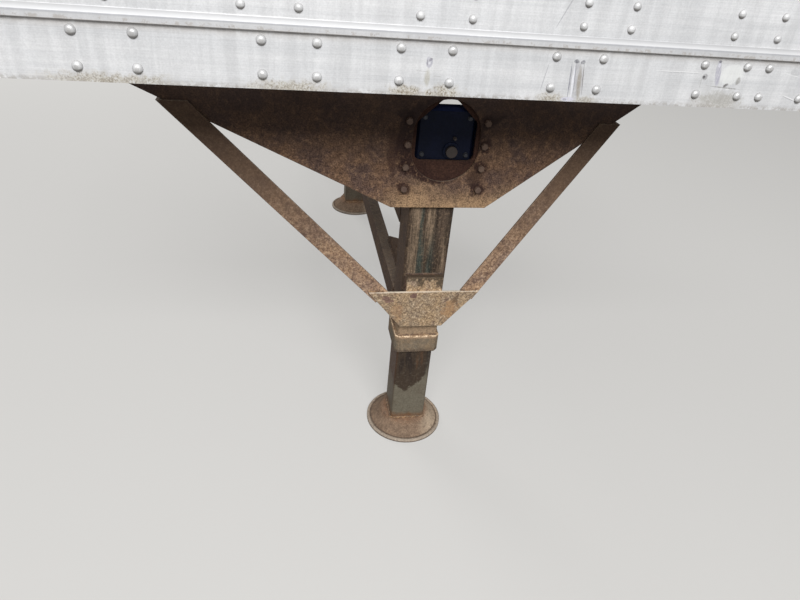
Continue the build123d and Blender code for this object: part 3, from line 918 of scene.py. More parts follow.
@dataclass(frozen=True)
class RustFinish(Finish):
    """Old steel: a worn coat, rust in blooms and grains, runs, pale edges, dusty tops that are painted top
    light on the gusset, and a darkening towards the top that is grime and painted shade.
    """

    coat: Colour = (0.10, 0.075, 0.06)
    rust: Colour = (0.22, 0.13, 0.075)
    grain: Colour = (0.42, 0.28, 0.16)
    spot: Colour = (0.07, 0.045, 0.045)
    edge: Colour = (0.50, 0.38, 0.27)
    dust: Colour = (0.34, 0.28, 0.22)
    grime: Colour = (0.060, 0.045, 0.042)
    bloom: float = 14.0
    grain_share: float = 0.6
    spot_share: float = 0.6
    edge_share: float = 0.7
    edge_radius: float = 0.0025
    dust_and_top_light_share: float = 0.4
    # Where and how strongly the top is darkened, by grime and painted shade.
    shade_and_grime_from: float = 0.90
    shade_and_grime_to: float = 1.20
    shade_and_grime_share: float = 0.0
    mottle: float = 0.42
    roughness: float = 0.84
    specular: float = 0.10
    relief: float = 0.0010
    marks: tuple[Mark, ...] = ()

    def body(self, mixer: Mixer) -> Value:
        """Colour of the coat and its blooms of rust."""
        bloom = mixer.noise(self.bloom, 6, 0.62, warp=0.4)
        return mixer.tint(bloom, (0.40, self.coat), (0.58, self.rust))

    def dress(self, mixer: Mixer, colour: Value) -> Value:
        """What a finish of its own kind adds over the body."""
        return colour

    def mix(self) -> bpy.types.Material:
        """Mixes the material.

        Returns:
            The material.
        """
        mixer = Mixer(self.name, specular=self.specular)
        edge = mixer.worn_edge(self.edge_radius)
        fine = mixer.noise(270.0, 2, 0.6)
        grains = mixer.noise(110.0, 4, 0.7, shift=1.0)
        spots = mixer.noise(46.0, 5, 0.62, shift=3.0)
        streaks = mixer.noise(1.0, 4, 0.6, (70.0, 70.0, 6.0))
        wander = mixer.noise(70.0, 5, 0.65, shift=7.0)
        colour = self.dress(mixer, self.body(mixer))
        colour = mixer.cover(colour, self.spot, mixer.fade(streaks, 0.50, 0.66, 0.0, self.spot_share * 0.5))
        colour = mixer.cover(colour, self.spot, mixer.fade(spots, 0.56, 0.68, 0.0, self.spot_share))
        colour = mixer.cover(colour, self.grain, mixer.fade(grains, 0.53, 0.64, 0.0, self.grain_share))
        colour = mixer.cover(colour, self.spot, mixer.fade(grains, 0.45, 0.35, 0.0, self.spot_share))
        speck = mixer.plus(mixer.times(fine, 0.65), mixer.times(grains, 0.35))
        light = mixer.fade(speck, 0.36, 0.64, 1.0 - self.mottle, 1.0 + self.mottle * 1.2)
        colour = mixer.shaded(colour, light)
        colour = mixer.marked(colour, self.marks, wander, mixer.fade(grains, 0.40, 0.52, 0.55, 1.0))
        # Darkening towards the top: grime and painted shade under the frame.
        high = mixer.plus(mixer.z, mixer.sway(spots, 0.25))
        grime = mixer.fade(high, self.shade_and_grime_from, self.shade_and_grime_to, 0.0, self.shade_and_grime_share)
        colour = mixer.cover(colour, self.grime, grime)
        chips = mixer.times(edge, mixer.fade(wander, 0.34, 0.55), self.edge_share)
        colour = mixer.cover(colour, self.edge, chips)
        # Dusty tops; on the gusset this is painted top light.
        settled = mixer.times(mixer.upward(), mixer.fade(wander, 0.25, 0.6, 0.5, 1.0), self.dust_and_top_light_share)
        colour = mixer.cover(colour, self.dust, settled)
        mixer.relief(mixer.plus(grains, mixer.times(spots, 0.8)), self.relief, 0.8)
        gloss = mixer.fade(grains, 0.35, 0.70, self.roughness - 0.12, min(self.roughness + 0.10, 1.0))
        return mixer.finish(colour, gloss)


@dataclass(frozen=True)
class WingFinish(RustFinish):
    """Brown sheet steel: dark paint with grime and painted shade under the frame, tan rust lower down that is
    partly painted light below the rail's shadow, painted shade round the window and stains round the bolts.
    """

    low: Colour = (0.36, 0.235, 0.135)
    turn_low: float = 0.845
    turn_high: float = 0.955
    # Painted shade round the window; also the colour of the bolts' stains.
    stain: Colour = (0.036, 0.018, 0.016)
    window: Point = (-0.0055, 0.0, 1.0315)
    window_half: float = 0.112
    half_pitch: float = 0.030

    def dress(self, mixer: Mixer, colour: Value) -> Value:
        """Adds the tan lower part, partly painted light, the round painted shade of the window and the stains
        of the bolts.

        Args:
            mixer: the material in the making.
            colour: its colour so far.

        Returns:
            The dressed colour.
        """
        # Tan lower part: tan rust, and partly painted light below where the rail's shadow falls.
        wave = mixer.noise(5.0, 6, 0.65, shift=1.7)
        height = mixer.plus(mixer.z, mixer.sway(wave, 0.20))
        height = mixer.plus(height, mixer.fade(mixer.x, -0.04, -0.20, 0.0, 0.08))
        colour = mixer.cover(colour, self.low, mixer.fade(height, self.turn_high, self.turn_low, 0.0, 0.9))
        # Painted shade in a ragged circle round the window, for the shaded mounting plate seen behind it.
        far = mixer.reach(self.window, (self.window_half, ALL_ACROSS, self.window_half))
        ragged = mixer.noise(45.0, 5, 0.65, shift=4.4)
        ring = mixer.plus(far, mixer.sway(ragged, 0.30))
        colour = mixer.cover(colour, self.stain, mixer.fade(ring, 1.06, 0.96, 0.0, 0.9))
        column = mixer.calc("SUBTRACT", mixer.apart(mixer.x, HANGER_X), BOLT_ACROSS)
        row = mixer.calc("PINGPONG", mixer.calc("SUBTRACT", mixer.z, BOLT_ROWS[0]), self.half_pitch)
        blot = mixer.plus(mixer.diagonal(column, row), mixer.sway(ragged, 0.040))
        inside = mixer.band(mixer.z, (0.870, 0.880), (1.125, 1.112))
        stains = mixer.times(mixer.fade(blot, 0.025, 0.013, 0.0, 0.85), inside)
        return mixer.cover(colour, self.stain, stains)


@dataclass(frozen=True)
class OuterLegFinish(RustFinish):
    """Outer tube: narrow upright bands of rust and of the blue green paint that is left."""

    tan: Colour = (0.190, 0.138, 0.094)
    teal: Colour = (0.046, 0.056, 0.047)
    brown: Colour = (0.086, 0.060, 0.042)
    dark: Colour = (0.046, 0.035, 0.027)
    # Tan rust over the collar, painted lighter against the gusset's shadow.
    neck_rust_and_light: Colour = (0.40, 0.28, 0.18)
    neck_top: float = 0.455

    def dress(self, mixer: Mixer, colour: Value) -> Value:
        """Adds the bands of the outboard face, and the tan zone over the collar, tan rust painted lighter
        against the gusset's shadow.

        Args:
            mixer: the material in the making.
            colour: its colour so far.

        Returns:
            The dressed colour.
        """
        tear = mixer.noise(1.0, 6, 0.70, (150.0, 150.0, 14.0))
        drift = mixer.sway(tear, 0.16)
        share = mixer.plus(mixer.calc("DIVIDE", mixer.plus(mixer.x, OUTER_HALF), 2 * OUTER_HALF), drift)
        high = mixer.tint(share, (0.03, self.brown), (0.15, self.tan), (0.24, self.tan), (0.30, self.teal),
                          (0.37, self.brown), (0.45, self.tan), (0.54, self.tan), (0.62, self.dark),
                          (0.75, self.brown), (0.95, self.dark))
        low = mixer.tint(share, (0.03, self.brown), (0.13, self.tan), (0.23, self.tan), (0.29, self.teal),
                         (0.38, self.teal), (0.46, self.brown), (0.56, self.teal), (0.68, self.dark),
                         (0.78, self.brown), (0.87, self.tan), (0.94, self.brown))
        bands = mixer.cover(low, high, mixer.fade(mixer.z, 0.66, 0.80))
        lines = mixer.noise(1.0, 3, 0.65, (260.0, 260.0, 16.0), shift=2.0)
        bands = mixer.shaded(bands, mixer.fade(lines, 0.38, 0.62, 0.60, 1.38))
        outer = mixer.fade(mixer.across(), LEG_CENTRE + 0.050, LEG_CENTRE + 0.060)
        colour = mixer.cover(colour, bands, mixer.times(outer, 0.95))
        # Tan zone over the collar: rust, with painted light against the gusset's shadow.
        edge = mixer.plus(mixer.z, mixer.sway(tear, 0.05))
        return mixer.cover(colour, self.neck_rust_and_light, mixer.fade(edge, self.neck_top + 0.02, self.neck_top, 0.0, 0.9))


@dataclass(frozen=True)
class CollarFinish(RustFinish):
    """Collar: an orange bevel, a painted highlight as a bright broken line below it, and a darker lower
    border.
    """

    bevel: Colour = (0.44, 0.29, 0.18)
    line: Colour = (1.0, 0.76, 0.52)
    line_at: float = 0.406
    bottom: float = 0.347

    def dress(self, mixer: Mixer, colour: Value) -> Value:
        """Adds bevel, painted highlight line and border.

        Args:
            mixer: the material in the making.
            colour: its colour so far.

        Returns:
            The dressed colour.
        """
        tear = mixer.noise(60.0, 5, 0.65, shift=9.0)
        colour = mixer.cover(colour, self.bevel, mixer.times(mixer.fade(mixer.z, 0.392, 0.405), 0.85))
        # Painted highlight: a bright broken line along the edge below the bevel.
        off = mixer.apart(mixer.z, self.line_at)
        broken = mixer.times(mixer.fade(off, 0.0034, 0.0020), mixer.fade(tear, 0.44, 0.52))
        colour = mixer.cover(colour, self.line, broken)
        edge = mixer.plus(mixer.z, mixer.sway(tear, 0.016))
        border = mixer.fade(edge, self.bottom + 0.018, self.bottom + 0.002, 0.0, 0.8)
        return mixer.cover(colour, self.spot, border)


@dataclass(frozen=True)
class InnerLegFinish(RustFinish):
    """Inner tube: grey steel below, a dark brown film where it slides, an orange seam at the foot."""

    film: Colour = (0.050, 0.033, 0.023)
    seam: Colour = (0.20, 0.10, 0.05)
    brown_run: Colour = (0.105, 0.060, 0.036)
    dark_run: Colour = (0.026, 0.019, 0.017)
    inner_side: Colour = (0.085, 0.046, 0.028)
    point: float = 0.021

    def dress(self, mixer: Mixer, colour: Value) -> Value:
        """Adds the dark film with its pointed lower edge, and the seam.

        Args:
            mixer: the material in the making.
            colour: its colour so far.

        Returns:
            The dressed colour.
        """
        tear = mixer.noise(34.0, 5, 0.60)
        ragged = mixer.sway(tear, 0.07)
        side = mixer.calc("ABSOLUTE", mixer.plus(mixer.x, self.point))
        height = mixer.plus(mixer.calc("SUBTRACT", mixer.z, mixer.times(side, 0.95)), ragged)
        within = mixer.fade(mixer.x, 0.048, 0.040, 0.25, 1.0)
        film = mixer.times(mixer.fade(height, 0.163, 0.174, 0.0, 0.92), within)
        colour = mixer.cover(colour, self.film, film)
        runs = mixer.noise(1.0, 5, 0.60, (60.0, 60.0, 7.0), shift=2.0)
        above = mixer.fade(mixer.z, 0.19, 0.30)
        for run, dry, wet in ((self.brown_run, 0.47, 0.38), (self.dark_run, 0.53, 0.62)):
            colour = mixer.cover(colour, run, mixer.times(mixer.fade(runs, dry, wet, 0.0, 0.8), above))
        inner = mixer.fade(mixer.across(), LEG_CENTRE + 0.0560, LEG_CENTRE + 0.0540)
        shade = mixer.times(mixer.fade(mixer.z, 0.12, 0.26, 0.25, 0.85), inner)
        colour = mixer.cover(colour, self.inner_side, shade)
        low = mixer.plus(mixer.z, mixer.sway(tear, 0.05))
        return mixer.cover(colour, self.seam, mixer.fade(low, 0.080, 0.054, 0.0, 0.85))


@dataclass(frozen=True)
class FootFinish(RustFinish):
    """Pressed foot: rings of worn rim, dirt in the groove, fresh rust round the leg, painted shade along its
    bottom edge.
    """

    rim: Colour = (0.46, 0.385, 0.31)
    worn: Colour = (0.60, 0.47, 0.34)
    # Dirt in the groove, and the painted shade along the bottom edge.
    groove: Colour = (0.070, 0.048, 0.036)
    fresh: Colour = (0.25, 0.12, 0.06)
    groove_radius: float = 0.1172

    def dress(self, mixer: Mixer, colour: Value) -> Value:
        """Adds the rings round the axis of the leg, and painted shade along the bottom edge.

        Args:
            mixer: the material in the making.
            colour: its colour so far.

        Returns:
            The dressed colour.
        """
        radius = mixer.diagonal(mixer.x, mixer.calc("SUBTRACT", mixer.across(), LEG_CENTRE))
        tear = mixer.noise(38.0, 5, 0.65, shift=5.0)
        moved = mixer.plus(radius, mixer.sway(tear, 0.016))
        colour = mixer.cover(colour, self.worn, mixer.fade(mixer.x, 0.025, 0.085, 0.0, 0.8))
        colour = mixer.cover(colour, self.fresh, mixer.fade(moved, 0.090, 0.070, 0.0, 0.75))
        colour = mixer.cover(colour, self.rim, mixer.fade(moved, 0.1185, 0.1225, 0.0, 0.9))
        off = mixer.apart(radius, self.groove_radius)
        colour = mixer.cover(colour, self.groove, mixer.fade(off, 0.0036, 0.0010, 0.0, 0.85))
        # Painted shade along the bottom edge, where the foot meets the floor.
        return mixer.cover(colour, self.groove, mixer.fade(mixer.z, 0.006, 0.002, 0.0, 0.8))


@dataclass(frozen=True)
class PaintFinish(Finish):
    """Paint on a casting or bar: dusty patches and tops, a painted top light on faces that look up, chips to
    the primer on the edges, a cast or brushed relief.
    """

    # The default navy is painted darker than the paint itself: painted shade of the gear case in the shade
    # under the rail.
    paint: Colour = (0.004, 0.006, 0.015)
    faded: Colour = (0.007, 0.010, 0.026)
    chip: Colour = (0.016, 0.026, 0.065)
    dust: Colour = (0.045, 0.038, 0.034)
    top: Colour = (0.012, 0.022, 0.080)
    dust_and_top_light_share: float = 0.35
    roughness: float = 0.48
    specular: float = 0.10
    grain: float = 260.0
    relief: float = 0.0006
    edge_radius: float = 0.003

    def mix(self) -> bpy.types.Material:
        """Mixes the material.

        Returns:
            The material.
        """
        mixer = Mixer(self.name, specular=self.specular)
        edge = mixer.worn_edge(self.edge_radius)
        cloud = mixer.noise(18.0, 5, 0.6)
        cast = mixer.noise(self.grain, 4, 0.6)
        wander = mixer.noise(120.0, 4, 0.6, shift=3.0)
        colour = mixer.tint(cloud, (0.36, self.paint), (0.66, self.faded))
        colour = mixer.cover(colour, self.dust, mixer.fade(cast, 0.56, 0.72, 0.0, self.dust_and_top_light_share * 0.6))
        # Painted top light: faces that look up are lighter; on the handle it is the same faded paint as
        # elsewhere.
        colour = mixer.cover(colour, self.top, mixer.times(mixer.upward(0.4, 0.7), 0.85))
        settled = mixer.times(mixer.upward(), mixer.fade(wander, 0.3, 0.6), self.dust_and_top_light_share)
        colour = mixer.cover(colour, self.dust, settled)
        colour = mixer.cover(colour, self.chip, mixer.times(edge, mixer.fade(wander, 0.42, 0.58), 0.8))
        mixer.relief(mixer.plus(cast, mixer.times(cloud, 0.8)), self.relief, 0.6)
        return mixer.finish(colour, mixer.fade(cast, 0.3, 0.7, self.roughness - 0.08, self.roughness + 0.18))


@dataclass(frozen=True)
class BareFinish(Finish):
    """Bare metal: shafts, rivets and bolts, with turning marks, dull film and rust in the hollows."""

    light: Colour = (0.42, 0.40, 0.38)
    dull: Colour = (0.22, 0.19, 0.17)
    rust: Colour = (0.20, 0.11, 0.06)
    rust_share: float = 0.6
    metallic: float = 0.7
    roughness: float = 0.42
    lay: Point = (1.0, 1.0, 1.0)

    def dress(self, mixer: Mixer, colour: Value) -> Value:
        """What a finish of its own kind adds over the metal."""
        return colour

    def mix(self) -> bpy.types.Material:
        """Mixes the material.

        Returns:
            The material.
        """
        mixer = Mixer(self.name, metallic=self.metallic, specular=0.5)
        edge = mixer.worn_edge(0.0012)
        film = mixer.noise(40.0, 5, 0.6)
        turned = mixer.noise(500.0, 3, 0.6, self.lay)
        colour = mixer.tint(film, (0.35, self.dull), (0.62, self.light))
        colour = mixer.cover(colour, self.rust, mixer.fade(turned, 0.52, 0.70, 0.0, self.rust_share))
        colour = self.dress(mixer, mixer.cover(colour, self.light, mixer.times(edge, 0.6)))
        mixer.relief(turned, 0.0003, 0.5)
        return mixer.finish(colour, mixer.fade(film, 0.3, 0.7, self.roughness - 0.08, self.roughness + 0.2))


@dataclass(frozen=True)
class ShaftFinish(BareFinish):
    """Shaft, black and greasy at its bearings, with painted shade there as well."""

    # Black greasy colour that is partly painted shade.
    grease: Colour = (0.030, 0.022, 0.019)

    def dress(self, mixer: Mixer, colour: Value) -> Value:
        """Adds the black greasy film and painted shade at the bearings."""
        out = mixer.apart(mixer.across(), LEG_CENTRE)
        return mixer.cover(colour, self.grease, mixer.fade(out, 0.100, 0.085, 0.0, 0.85))


@dataclass(frozen=True)
class RivetFinish(BareFinish):
    """A rivet's head: painted shade, with some dirt, on its lower side and round its foot, and the dull mark
    of the die in the middle.
    """

    # Painted shade, with some dirt, below the head and round its foot.
    dirt: Colour = (0.13, 0.115, 0.10)
    die: Colour = (0.40, 0.39, 0.38)

    def dress(self, mixer: Mixer, colour: Value) -> Value:
        """Adds the painted shade and the mark.

        Args:
            mixer: the material in the making.
            colour: its colour so far.

        Returns:
            The dressed colour.
        """
        # Painted shade on the lower side of the head and a painted contact shadow round its foot.
        out = mixer.across()
        foot = mixer.fade(out, RAIL_FACE + 0.0014, RAIL_FACE + 0.0004)
        low = mixer.fade(mixer.lean("Normal"), -0.12, -0.58)
        colour = mixer.cover(colour, self.dirt, mixer.times(mixer.calc("MAXIMUM", foot, low), 0.75))
        mark = mixer.fade(out, RAIL_FACE + 0.0058, RAIL_FACE + 0.0061)
        return mixer.cover(colour, self.die, mixer.times(mark, 0.5))


@dataclass(frozen=True)
class GripFinish(Finish):
    """Moulded black plastic, dusty in its grooves."""

    light: Colour = (0.045, 0.043, 0.042)
    dark: Colour = (0.018, 0.018, 0.018)

    def mix(self) -> bpy.types.Material:
        """Mixes the material.

        Returns:
            The material.
        """
        mixer = Mixer(self.name, specular=0.4)
        cloud = mixer.noise(60.0, 5, 0.6)
        fine = mixer.noise(700.0, 3, 0.6)
        colour = mixer.tint(cloud, (0.35, self.dark), (0.65, self.light))
        mixer.relief(fine, 0.0003, 0.6)
        return mixer.finish(colour, mixer.fade(cloud, 0.3, 0.7, 0.50, 0.72))


RAIL = RailFinish("weathered_aluminium")
RIVET = RivetFinish(
    "rivet_aluminium", light=(0.68, 0.68, 0.68), dull=(0.54, 0.54, 0.54), rust=(0.38, 0.36, 0.33),
    rust_share=0.4, metallic=0.25, roughness=0.42)
CROSS_STEEL = RustFinish(
    "dusty_dark_steel", coat=(0.045, 0.040, 0.038), rust=(0.12, 0.070, 0.045), grain=(0.20, 0.13, 0.085),
    edge=(0.24, 0.17, 0.12), dust_and_top_light_share=0.5)
# Its darkening towards the top is dark paint, grime and painted shade under the frame.
WING = WingFinish(
    "brown_sheet_steel", coat=(0.120, 0.076, 0.060), rust=(0.190, 0.112, 0.070), grain=(0.34, 0.21, 0.120),
    spot=(0.060, 0.036, 0.030), grain_share=0.35, spot_share=0.35, edge=(0.42, 0.29, 0.18), edge_share=0.3,
    grime=(0.066, 0.046, 0.041), shade_and_grime_from=0.95, shade_and_grime_to=1.15, shade_and_grime_share=0.7, marks=(
        Mark((0.130, 1.088), (0.034, 0.010), (0.024, 0.015, 0.014), -35, 0.8, 1.4, 0.8, -0.98),
        Mark((-0.100, 1.100), (0.020, 0.012), (0.022, 0.012, 0.013), 0, 0.8, 1.4, 0.8, -0.98),
        Mark((-0.125, 1.000), (0.016, 0.060), (0.045, 0.022, 0.019), 0, 0.8, 1.2, 0.7, -0.98),
        Mark((0.100, 0.940), (0.022, 0.022), (0.040, 0.022, 0.018), 0, 0.8, 1.4, 0.7, -0.98),
    ))
PLATE = RustFinish(
    "dark_plate_steel", coat=(0.052, 0.026, 0.020), rust=(0.070, 0.035, 0.025), grain=(0.10, 0.056, 0.040),
    grain_share=0.25, spot=(0.028, 0.015, 0.014), spot_share=0.4, edge=(0.075, 0.045, 0.035),
    dust=(0.13, 0.085, 0.060), mottle=0.25)
# Its darkening towards the top is painted shade under the frame, with some grime.
BRACE = RustFinish(
    "pinkish_tan_rust", coat=(0.290, 0.195, 0.140), rust=(0.380, 0.245, 0.155), grain=(0.54, 0.39, 0.265),
    spot=(0.150, 0.090, 0.075), edge=(0.60, 0.47, 0.35), bloom=18.0, grime=(0.110, 0.070, 0.048),
    shade_and_grime_from=0.56, shade_and_grime_to=0.96, shade_and_grime_share=0.85, mottle=0.38)
# Its pale tops and pale edges are mostly a painted highlight along the gusset's top edge, with some real
# wear.
GUSSET = RustFinish(
    "pale_tan_rust", coat=(0.320, 0.240, 0.165), rust=(0.380, 0.265, 0.160), grain=(0.58, 0.45, 0.31),
    spot=(0.160, 0.100, 0.085), spot_share=0.5, edge=(0.80, 0.68, 0.54), edge_share=0.95,
    dust=(0.85, 0.74, 0.60), dust_and_top_light_share=0.9, bloom=20.0, marks=(
        Mark((-0.108, 0.560), (0.018, 0.016), (0.16, 0.080, 0.085), ragged=2.2, depth=0.7, face=-0.99),
        Mark((-0.033, 0.573), (0.010, 0.008), (0.14, 0.070, 0.070), ragged=1.6, depth=0.8, face=-0.99),
        Mark((0.085, 0.525), (0.022, 0.030), (0.45, 0.25, 0.12), 20, 0.8, 2.0, 0.6, -0.99),
        Mark((-0.075, 0.520), (0.016, 0.026), (0.44, 0.26, 0.14), -20, 0.8, 2.0, 0.5, -0.99),
        Mark((0.098, 0.560), (0.010, 0.014), (0.13, 0.085, 0.055), 30, 0.6, 1.8, 0.7, -0.99),
    ))
PACKER_MARKS = (
    ((0.0, 0.640), (0.090, 0.022)), ((0.048, 0.610), (0.014, 0.018)), ((-0.015, 0.612), (0.010, 0.013)))
PACKER = replace(
    GUSSET, name="packer_tan_rust", dust=(0.080, 0.056, 0.038), dust_and_top_light_share=1.0, edge_share=0.25, marks=tuple(
        Mark(at, half, (0.082, 0.062, 0.044), ragged=1.1, depth=0.9, face=side * 0.985)
        for side in (-1, 1) for at, half in PACKER_MARKS))
TIE = RustFinish(
    "brown_bar_rust", coat=(0.070, 0.047, 0.034), rust=(0.110, 0.070, 0.046), grain=(0.20, 0.135, 0.090),
    edge=(0.34, 0.24, 0.16))
OUTER_LEG = OuterLegFinish(
    "outer_tube_rust_and_paint", coat=(0.085, 0.058, 0.045), rust=(0.120, 0.080, 0.056),
    grain=(0.34, 0.235, 0.15), spot=(0.060, 0.045, 0.040), grain_share=0.25, spot_share=0.25, mottle=0.25)
# Its bright orange edges are partly painted highlight.
COLLAR = CollarFinish(
    "collar_tan_rust", coat=(0.195, 0.165, 0.125), rust=(0.270, 0.195, 0.125), grain=(0.42, 0.31, 0.20),
    spot=(0.110, 0.082, 0.062), edge=(0.90, 0.64, 0.42), edge_share=1.0, edge_radius=0.0022,
    dust=(0.44, 0.29, 0.18), dust_and_top_light_share=0.3, grain_share=0.25, spot_share=0.3, mottle=0.16)
INNER_LEG = InnerLegFinish(
    "inner_tube_grey_steel", coat=(0.162, 0.138, 0.102), rust=(0.184, 0.163, 0.122),
    grain=(0.23, 0.20, 0.155), spot=(0.075, 0.058, 0.045), grain_share=0.15, spot_share=0.2,
    mottle=0.12, roughness=0.62, relief=0.0005)
FOOT = FootFinish(
    "foot_red_brown_rust", coat=(0.200, 0.135, 0.092), rust=(0.265, 0.180, 0.122), grain=(0.36, 0.27, 0.19),
    spot=(0.080, 0.050, 0.040), dust=(0.24, 0.19, 0.145), dust_and_top_light_share=0.3, grain_share=0.3, spot_share=0.35,
    mottle=0.2)
CASE = PaintFinish("navy_casting_paint")
SHAFT = ShaftFinish(
    "dull_shaft_steel", light=(0.13, 0.10, 0.085), dull=(0.060, 0.046, 0.038), lay=(0.2, 1.0, 0.2),
    metallic=0.35, roughness=0.52)
BOLT = BareFinish(
    "rusty_bolt_steel", light=(0.165, 0.108, 0.078), dull=(0.085, 0.050, 0.037), rust=(0.120, 0.064, 0.040),
    metallic=0.1, roughness=0.66)
SCREW = BareFinish(
    "dark_screw_steel", light=(0.030, 0.032, 0.040), dull=(0.014, 0.015, 0.020), rust=(0.05, 0.035, 0.03),
    metallic=0.4)
WELD = RustFinish(
    "weld_bead_rust", coat=(0.20, 0.135, 0.095), rust=(0.33, 0.20, 0.11), grain=(0.48, 0.33, 0.19),
    spot=(0.09, 0.06, 0.05), edge_share=0.0, relief=0.0006)
DARK_WELD = RustFinish(
    "dark_weld_bead", coat=(0.06, 0.045, 0.038), rust=(0.13, 0.082, 0.055), grain=(0.20, 0.13, 0.085),
    edge_share=0.0, relief=0.0006)
HANDLE = PaintFinish(
    "handle_dark_paint", paint=(0.040, 0.036, 0.033), faded=(0.085, 0.073, 0.062), chip=(0.32, 0.27, 0.22),
    dust=(0.20, 0.15, 0.11), top=(0.085, 0.073, 0.062), roughness=0.5, specular=0.4)
GRIP = GripFinish("grip_black_plastic")


# Small parts that repeat

@dataclass(frozen=True)
class Rivet:
    """A rivet with a steep domed head and a flatter tail."""

    radius: float = 0.0092
    rise: float = 0.0066
    tail_rise: float = 0.0035

    def pattern(self, tail: bool = False) -> Workpiece:
        """Models the head, or the tail on the inside.

        Args:
            tail: whether it is the tail.

        Returns:
            The dome, flat on z = 0.
        """
        rise = self.tail_rise if tail else self.rise
        dome = Workpiece.ball("rivet", self.radius, 20, 10).halve()
        dome.edit(Pick.VERT).whole().resize((1, 1, rise / self.radius)).done()
        return dome.paint(RIVET)


@dataclass(frozen=True)
class HexBolt:
    """A hexagon bolt with a washer under its head, and its nut on the other side."""

    flats: float = 0.0155
    head: float = 0.0080
    washer_radius: float = 0.0096
    washer: float = 0.0026
    shank_radius: float = 0.0065
    stub: float = 0.006
    corner_bevel: float = 0.0006
    # The turned top, as shares of the corner's radius, and its last narrowing
    top_inset: float = 0.12
    top_rise: float = 0.07
    top_scale: float = 0.97
    # Straight and rounded part of washer and stub, as shares of their height, and how far in it is rounded
    straight: float = 0.7
    rounded: float = 0.3
    washer_soft: float = 0.4
    stub_soft: float = 0.2

    def hexagon(self, base: float, height: float) -> Workpiece:
        """Models a hexagon whose corners are turned off at the top.

        Args:
            base: the height that it starts at.
            height: its own height, up to the turned top.

        Returns:
            The hexagon.
        """
        corner = self.flats / math.sqrt(3)
        piece = Workpiece.rod("hexagon", corner, height, 6)
        piece.edit().top().inset(corner * self.top_inset).extrude((0, 0, corner * self.top_rise))
        piece.resize((self.top_scale, self.top_scale, 1), (0, 0, height)).done()
        piece.edit(Pick.EDGE).upright(height / 2).bevel(self.corner_bevel).done()
        return piece.move(Matrix.Translation((0, 0, base)))

    def ring(self) -> Workpiece:
        """Models the washer with a soft upper edge."""
        piece = Workpiece.rod("washer", self.washer_radius, self.washer * self.straight)
        return piece.edit().top().inset(self.washer * self.washer_soft, self.washer * self.rounded).done()

    def head_pattern(self, finish: Finish) -> Workpiece:
        """Models head and washer; the washer is dark with old rust."""
        ring = self.ring().paint(PLATE if finish is BOLT else finish)
        return join("bolt", [ring.item, self.hexagon(self.washer, self.head).paint(finish).item])

    def nut_pattern(self, finish: Finish) -> Workpiece:
        """Models washer, nut and the end of the shank.

        Args:
            finish: what all three are dressed in.

        Returns:
            The three as one piece.
        """
        length = self.washer + self.head + self.stub * self.straight
        end = Workpiece.rod("stub", self.shank_radius, length, 16)
        end.edit().top().inset(self.shank_radius * self.stub_soft, self.stub * self.rounded).done()
        parts = [self.ring().item, self.hexagon(self.washer, self.head).item, end.item]
        return join("nut", parts).paint(finish)


@dataclass(frozen=True)
class WeldBead:
    """A bead of overlapping ripples, laid along straight runs."""

    size: float = 0.009
    pitch: float = 0.45
    ripple_length: float = 0.72
    wave: float = 0.012
    unevenness: float = 0.35

    def run(self, start: Vector, end: Vector) -> Item:
        """Lays one straight run.

        Args:
            start: where it starts.
            end: where it ends.

        Returns:
            The run's object.
        """
        ripple = Workpiece.ball("ripple", self.size / 2, 8, 6)
        ripple.edit(Pick.VERT).whole().resize((self.ripple_length, 1, 1)).done()
        way = end - start
        step = self.size * self.pitch
        ripple.modify("ARRAY", use_relative_offset=False, use_constant_offset=True,
                      constant_offset_displace=(step, 0, 0), count=max(2, round(way.length / step)))
        aim = way.to_track_quat("X", "Z").to_matrix().to_4x4()
        return ripple.move(Matrix.Translation(start) @ aim).item

    def lay(self, name: str, runs: Iterable[Run], finish: Finish) -> Workpiece:
        """Lays several runs and makes them uneven.

        Args:
            name: the piece's name.
            runs: start and end of each run.
            finish: the bead's finish.

        Returns:
            All the runs as one piece.
        """
        piece = join(name, [self.run(Vector(start), Vector(end)) for start, end in runs])
        piece.waves(self.wave, self.size * self.unevenness)
        return piece.paint(finish)


def loop_runs(middle: Sequence[float], half: float, corner: float, height: float) -> list[Run]:
    """Runs round a square tube with cut corners, at one height.

    Args:
        middle: X and Y of the tube's axis.
        half: half of its width.
        corner: what is cut off at each corner, along the sides.
        height: Z of the runs.

    Returns:
        Start and end of each run.
    """
    x, y = middle
    flat = half - corner
    ring = [(-flat, -half), (flat, -half), (half, -flat), (half, flat), (flat, half), (-flat, half),
            (-half, flat), (-half, -flat)]
    points = [(x + a, y + b, height) for a, b in ring]
    return list(zip(points, points[1:] + points[:1]))


def placed(direction: Vector, points: Iterable[Sequence[float]], turn: float) -> list[Matrix]:
    """Places that look one way, each turned on from the one before by some degrees."""
    return [facing(direction, point, turn * n) for n, point in enumerate(points)]


# Sub-assemblies

